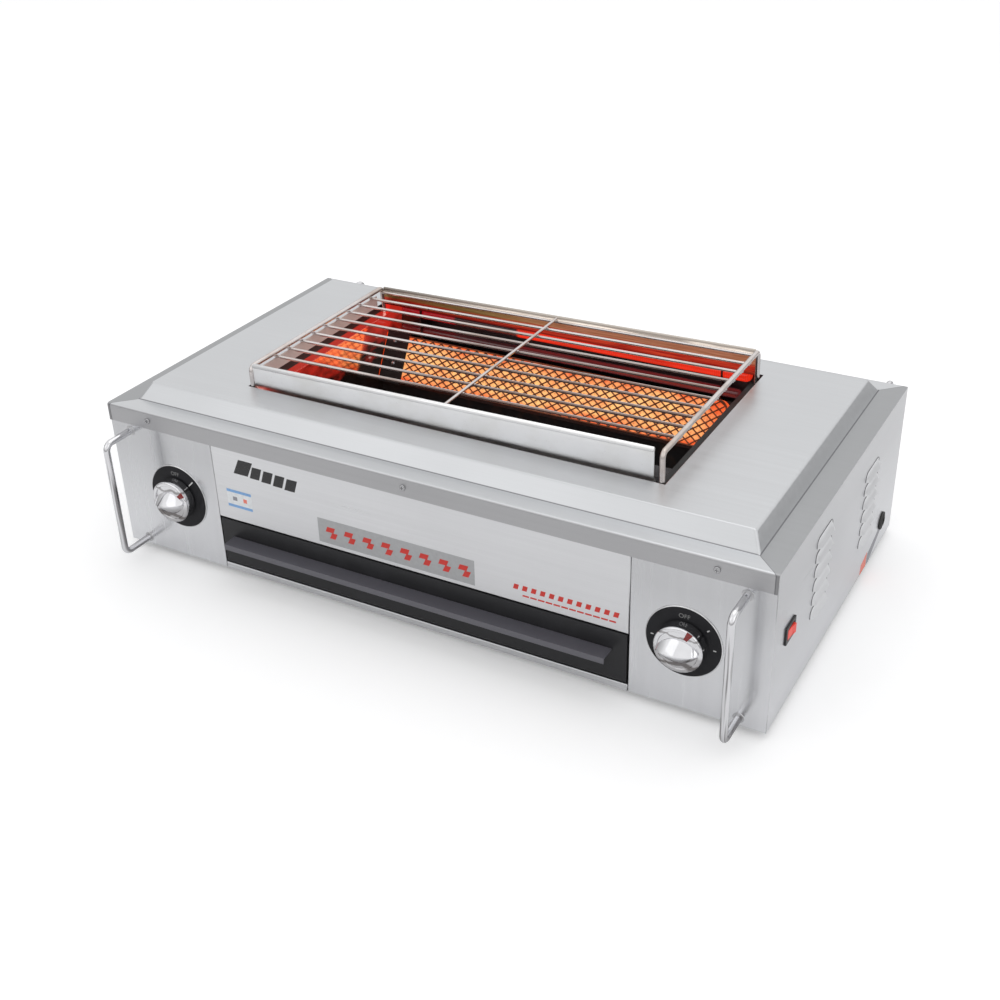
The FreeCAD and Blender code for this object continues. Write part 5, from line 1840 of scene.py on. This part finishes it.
class Print(Enum):
    """Square prints on the front, in millimetres from their lower left corner, with finish and layer."""

    STICKER = (-245.0, 98.0, 35.0, 23.0, "sticker", 1)
    STICKER_TOP = (-245.0, 117.5, 35.0, 3.5, "sticker_blue", 2)
    STICKER_FOOT = (-245.0, 98.0, 35.0, 3.5, "sticker_blue", 2)
    STICKER_DOT = (-237.0, 107.0, 6.0, 5.0, "sticker_grey", 2)
    STICKER_SPOT = (-222.0, 107.0, 5.0, 5.0, "sticker_coral", 2)
    FOIL = (-118.0, 85.0, 201.0, 31.0, "foil", 1)

    def __init__(self, across: float, up: float, wide: float, tall: float, finish: str, layer: int) -> None:
        """Spread the value over named fields."""
        self.shape, self.finish, self.layer = (across, up, wide, tall, 0.0), finish, layer


@dataclass
class Labels:
    """Unlettered prints: row of plain blocks, stickers, foil label with red lozenges, and red strokes."""

    face: float = -223.0 * MM
    side_face: float = 410.0 * MM
    lift: float = 0.12 * MM            # thickness of a print
    blocks: tuple[Slant, ...] = (
        (-231.0, 144.0, 20.0, 19.0, 9.0), (-208.0, 143.0, 13.0, 15.0, 5.0), (-192.0, 142.0, 13.0, 15.0, 5.0),
        (-176.0, 141.0, 13.0, 15.0, 5.0), (-160.0, 140.0, 14.0, 15.0, 5.0))
    coral: tuple[Span, ...] = ((95.0, 8.6), (119.0, 8.6), (120.0, 27.0), (97.0, 21.0))
    grey: tuple[Span, ...] = ((121.0, 8.6), (130.0, 8.6), (176.0, 30.0), (170.0, 36.0), (121.5, 22.0))

    def build(self) -> None:
        """Make every print."""
        for item in Print:
            finish = getattr(Finishes, item.finish)
            self.patch("print_" + item.name.lower(), [item.shape], finish, item.layer)
        self.patch("badge_shade", self.blocks, Finishes.badge, 1)
        lozenges = [(-103.0 + 24.4 * k, 92.5 + 0.4 * (k % 3), 7.5, 7.5, 3.5) for k in range(8)]
        lozenges += [(-108.0 + 24.4 * k, 100.2 + 0.4 * (k % 2), 10.5, 6.5, 2.5) for k in range(8)]
        self.patch("foil_lozenges", lozenges, Finishes.print_red, 2)
        strokes = [(129.0 + 10.4 * k, 96.0, 5.6, 6.2, 1.6) for k in range(12)]
        strokes += [(140.0 + 9.0 * k, 89.0, 7.6, 1.9, 0.4) for k in range(12)]
        self.patch("red_strokes", strokes, Finishes.print_red, 1)
        self.side_patch("side_patch_coral", self.coral, Finishes.sticker_coral)
        self.side_patch("side_patch_grey", self.grey, Finishes.sticker_grey)

    def patch(self, name: str, shapes: Iterable[Slant], finish: Finish, layer: int) -> None:
        """Thin prints on the front.

        Args:
            name: The piece's name.
            shapes: Each as across, up, wide, tall and lean, in millimetres.
            finish: Their finish.
            layer: 1 on the sheet, 2 on another print.
        """
        front = self.face - (layer - 1) * self.lift
        outlines = []
        for across, up, wide, tall, lean in shapes:
            corners = ((0, 0), (wide, 0), (wide + lean, tall), (lean, tall))
            outlines.append([((across + x) * MM, front, (up + z) * MM) for x, z in corners])
        whole = pooled(plate(corners, (0, -1, 0), self.lift) for corners in outlines)
        show(name, to_mesh(whole, name), "housing", [finish])

    def side_patch(self, name: str, outline: Iterable[Span], finish: Finish) -> None:
        """A thin print on the right side, from its outline along Y and Z in millimetres."""
        corners = [(self.side_face, along * MM, up * MM) for along, up in outline]
        show(name, to_mesh(plate(corners, (1, 0, 0), self.lift), name), "housing", [finish])


@dataclass
class Drawer:
    """Water tray, its black front and pull, and the rails."""

    def build(self) -> None:
        """Dress the drawer."""
        dress("drawer_tray", Finishes.tray)
        for side in Side:
            dress("drawer_rail_" + side.word, Finishes.zinc)
        show("drawer_front_eased", rounded("drawer_front", 0.6 * MM), "drawer", [Finishes.drawer],
             ("drawer_front",))
        show("drawer_pull_eased", rounded("drawer_pull", 0.4 * MM), "drawer", [Finishes.pull],
             ("drawer_pull",))


@dataclass
class Rack:
    """Welded roasting rack: bent wires, rods, weld beads and rolled strips."""

    left: float = -257.5 * MM
    right: float = 256.5 * MM
    front: float = -140.5 * MM
    back: float = 135.0 * MM
    height: float = 236.5 * MM
    feet: float = 203.3 * MM
    wire: float = 3.0 * MM
    rod: float = 1.8 * MM
    bend: float = 7.0 * MM
    rods: int = 10
    first_rod: float = -94.7 * MM
    last_rod: float = 131.4 * MM
    rod_drop: float = 4.6 * MM
    pivot: Vector = field(default_factory=lambda: Vector((RACK_HINGE, 0.0, 236.5 * MM)))

    def build(self) -> None:
        """Make the wires and the strips."""
        self.grid()
        self.strip("front", self.front, bead=2.8 * MM, span=(-254.5 * MM, 247.5 * MM),
                   top=self.height + 2.1 * MM, foot=207.0 * MM, finish=Finishes.strip, tuck=5.0 * MM)
        self.strip("back", self.back, bead=1.8 * MM, span=(-254.5 * MM, 253.5 * MM),
                   top=self.height, foot=215.1 * MM, finish=Finishes.back_strip, tuck=0.0)
        show("rack_strip_left_eased", rounded("rack_strip_left", 0.3 * MM), "rack", [Finishes.painted_glow_strip],
             ("rack_strip_left",))

    def lean(self, point: Point) -> Point:
        """Where the tilt takes a point."""
        return tuple(Matrix.Rotation(-RACK_TILT, 3, "Y") @ (Vector(point) - self.pivot) + self.pivot)

    def foot_at(self, across: float, height: float) -> float:
        """Height before the tilt that comes out at the given height."""
        return height - (across - self.pivot.x) * math.tan(RACK_TILT)

    def grid(self) -> None:
        """Legged end wires, the middle wire, rods under them and a weld bead at every crossing."""
        growth = Growth("rack_tree")
        wire = growth.size("Wire Radius", self.wire)
        rod = growth.size("Rod Radius", self.rod)
        bend = growth.size("Bend Radius", self.bend)
        count = growth.size("Rods", self.rods)
        drop = growth.size("Rod Drop", self.rod_drop)
        ends = growth.wire(growth.bent(bend), wire, 20)
        level = growth.minus(self.height, drop)
        step = (0.0, (self.last_rod - self.first_rod) / (self.rods - 1), 0.0)
        segment = "GeometryNodeCurvePrimitiveLine"
        line = growth.add(segment, {"Start": (0.0, 0.0, 0.0), "End": (self.right - self.left, 0.0, 0.0)})
        rods = growth.copies(growth.line(count, growth.vector(self.left, self.first_rod, level), step),
                             growth.wire(line, rod, 14))
        middle, up = (self.left + self.right) / 2, self.height - 0.8 * MM
        across = growth.add(segment, {"Start": (middle, self.front + 2.0 * MM, up),
                                      "End": (middle, self.back - 1.5 * MM, up)})
        bead = growth.ball(10, 6, growth.times(rod, 1.12))
        weld_up = growth.plus(level, 1.4 * MM)
        welds = [growth.copies(growth.line(count, growth.vector(x, self.first_rod, weld_up), step), bead,
                               scale=(1.15, 0.95, 0.8)) for x in (self.left, middle, self.right)]
        whole = growth.join(ends, rods, growth.wire(across, rod, 14), *welds)
        moved = growth.moved(whole, tuple(self.lean((0.0, 0.0, 0.0))), (0.0, -RACK_TILT, 0.0))
        hoops = [[(x, self.front, self.foot_at(x, self.feet)), (x, self.front, self.height),
                  (x, self.back, self.height), (x, self.back, self.foot_at(x, self.feet))]
                 for x in (self.left, self.right)]
        mesh = growth.grow(moved, Finishes.wire, *chained(hoops), smooth=50.0)
        show("rack_welded", mesh, "rack", [], ("rack_grid",))

    def strip(self, end: str, along: float, bead: float, span: tuple[float, float], top: float, foot: float,
              finish: Finish, tuck: float) -> None:
        """Strip rolled along its upper edge, with its foot level and tucked in.

        Args:
            end: Which end of the rack.
            along: Its plane along Y.
            bead: Radius of the roll.
            span: Its ends along X.
            top: Height of the roll's centre.
            foot: Height of its level foot.
            finish: Its finish.
            tuck: How far the lowest part leans in.
        """
        half, inset, taper, bend_up = 0.6 * MM, 0.35 * bead, 0.72, 9 * MM
        bm = bmesh.new()
        rings = []
        start, stop = span
        for across, shrink in ((start, taper), (start + inset, 1.0), (stop - inset, 1.0), (stop, taper)):
            low = self.foot_at(across, foot)
            roll = arc((0.0, top), bead * shrink, -75, 255, 14)
            loop = [(half, roll[0][1]), *roll, (-half, roll[-1][1]), (-half, low + bend_up),
                    (-half + tuck, low), (half + tuck, low), (half, low + bend_up)]
            rings.append([bm.verts.new(self.lean((across, along + y, z))) for y, z in loop])
        node = "rack_strip_" + end
        mesh = to_mesh(skinned(bm, rings), node, 40.0)
        show(node + "_rolled", mesh, "rack", [finish], (node,))


# ---- studio ---------------------------------------------------------------------
@dataclass
class Studio:
    """Floor, soft light and the camera."""

    camera_place: Point = (0.7125, -1.2607, 0.8902)
    yaw: float = math.radians(-29.87)
    pitch: float = math.radians(30.03)
    roll: float = -0.029
    focal_pixels: float = 1373.5
    frame_pixels: float = 1000.0
    sensor: float = 36.0
    ambient: float = 0.85              # the surroundings as light
    band_level: float = 0.50           # the surroundings near the horizon and far aside, in reflections
    band_low: float = 0.05
    band_high: float = 0.32
    wing_from: float = 0.80
    wing_to: float = 1.0

    def build(self) -> None:
        """Set the floor, the lamps, the world and the camera."""
        self.floor()
        self.camera()
        self.world()
        self.lamps()
        bpy.context.scene.view_settings.view_transform = "Standard"

    def floor(self) -> None:
        """A wide pale sheet under the feet."""
        bm = bmesh.new()
        bmesh.ops.create_grid(bm, x_segments=1, y_segments=1, size=6.0)
        floor = linked("floor", to_mesh(bm, "floor"))
        floor.data.materials.append(StudioFloor("floor_paper").material)

    def camera(self) -> None:
        """Camera at its measured place, turned by yaw, pitch and roll."""
        ahead = Vector((math.sin(self.yaw) * math.cos(self.pitch), math.cos(self.yaw) * math.cos(self.pitch),
                        -math.sin(self.pitch)))
        level = Vector((math.cos(self.yaw), -math.sin(self.yaw), 0.0))
        above = level.cross(ahead)
        right = math.cos(self.roll) * level + math.sin(self.roll) * above
        up = -math.sin(self.roll) * level + math.cos(self.roll) * above
        data = bpy.data.cameras.new("camera")
        data.sensor_width = self.sensor
        data.lens = self.focal_pixels / self.frame_pixels * self.sensor
        data.clip_end = 50.0
        camera = linked("camera", data)
        turn = Matrix((right, up, -ahead)).transposed().to_4x4()
        camera.matrix_world = Matrix.Translation(self.camera_place) @ turn
        bpy.context.scene.camera = camera

    def world(self) -> None:
        """Pale surroundings: white to the eye, with a dim band near the horizon in reflections."""
        world = bpy.data.worlds.new("studio")
        world.use_nodes = True
        tree = Tree(world.node_tree)
        across, _, up = tree.parts(tree.add("ShaderNodeTexCoord", {}, "Generated"))
        band = tree.spread(up, self.band_level, 1.0, self.band_low, self.band_high)
        aside = tree.unsigned(across)
        wings = tree.spread(aside, 1.0, self.band_level, self.wing_from, self.wing_to)
        glossy, camera, passing = [tree.add("ShaderNodeLightPath", {}, "Is %s Ray" % kind)
                                   for kind in ("Glossy", "Camera", "Transmission")]
        mirrored = tree.least(band, wings)
        light = tree.add("ShaderNodeMix", {0: glossy, 2: self.ambient, 3: mirrored})
        seen = tree.most(camera, passing)
        level = tree.add("ShaderNodeMix", {0: seen, 2: light, 3: 1.0})
        tree.feed(tree.tree.nodes["Background"], {"Color": WHITE, "Strength": level})
        bpy.context.scene.world = world

    def lamps(self) -> None:
        """Soft boxes: a key from the front left, a fill from the right and one above."""
        self.lamp("key", (-1.3, -2.0, 2.1), 1.6, 2.5)
        self.lamp("fill", (2.4, -0.8, 1.3), 1.6, 4.0)
        self.lamp("top", (0.2, 0.6, 2.6), 1.8, 8.0)

    def lamp(self, name: str, place: Point, size: float, power: float) -> None:
        """One square soft box that faces the roaster.

        Args:
            name: The lamp's name.
            place: Its centre.
            size: Its side.
            power: Watts.
        """
        data = bpy.data.lights.new(name, "AREA")
        data.size = size
        data.energy = power
        lamp = linked(name, data)
        lamp.location = place
        lamp.rotation_euler = (Vector((0.0, 0.0, 0.12)) - Vector(place)).to_track_quat("-Z", "Y").to_euler()


def main() -> None:
    """Build every sub-assembly in order."""
    logging.basicConfig(level=logging.INFO, format="%(name)s: %(message)s")
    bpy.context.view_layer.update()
    for part in (Shell(), Firebox(), Controls(), Fittings(), Labels(), Drawer(), Rack(), Studio()):
        log.info("building %s", type(part).__name__)
        part.build()
    bpy.context.view_layer.update()


if __name__ == "__main__":
    main()
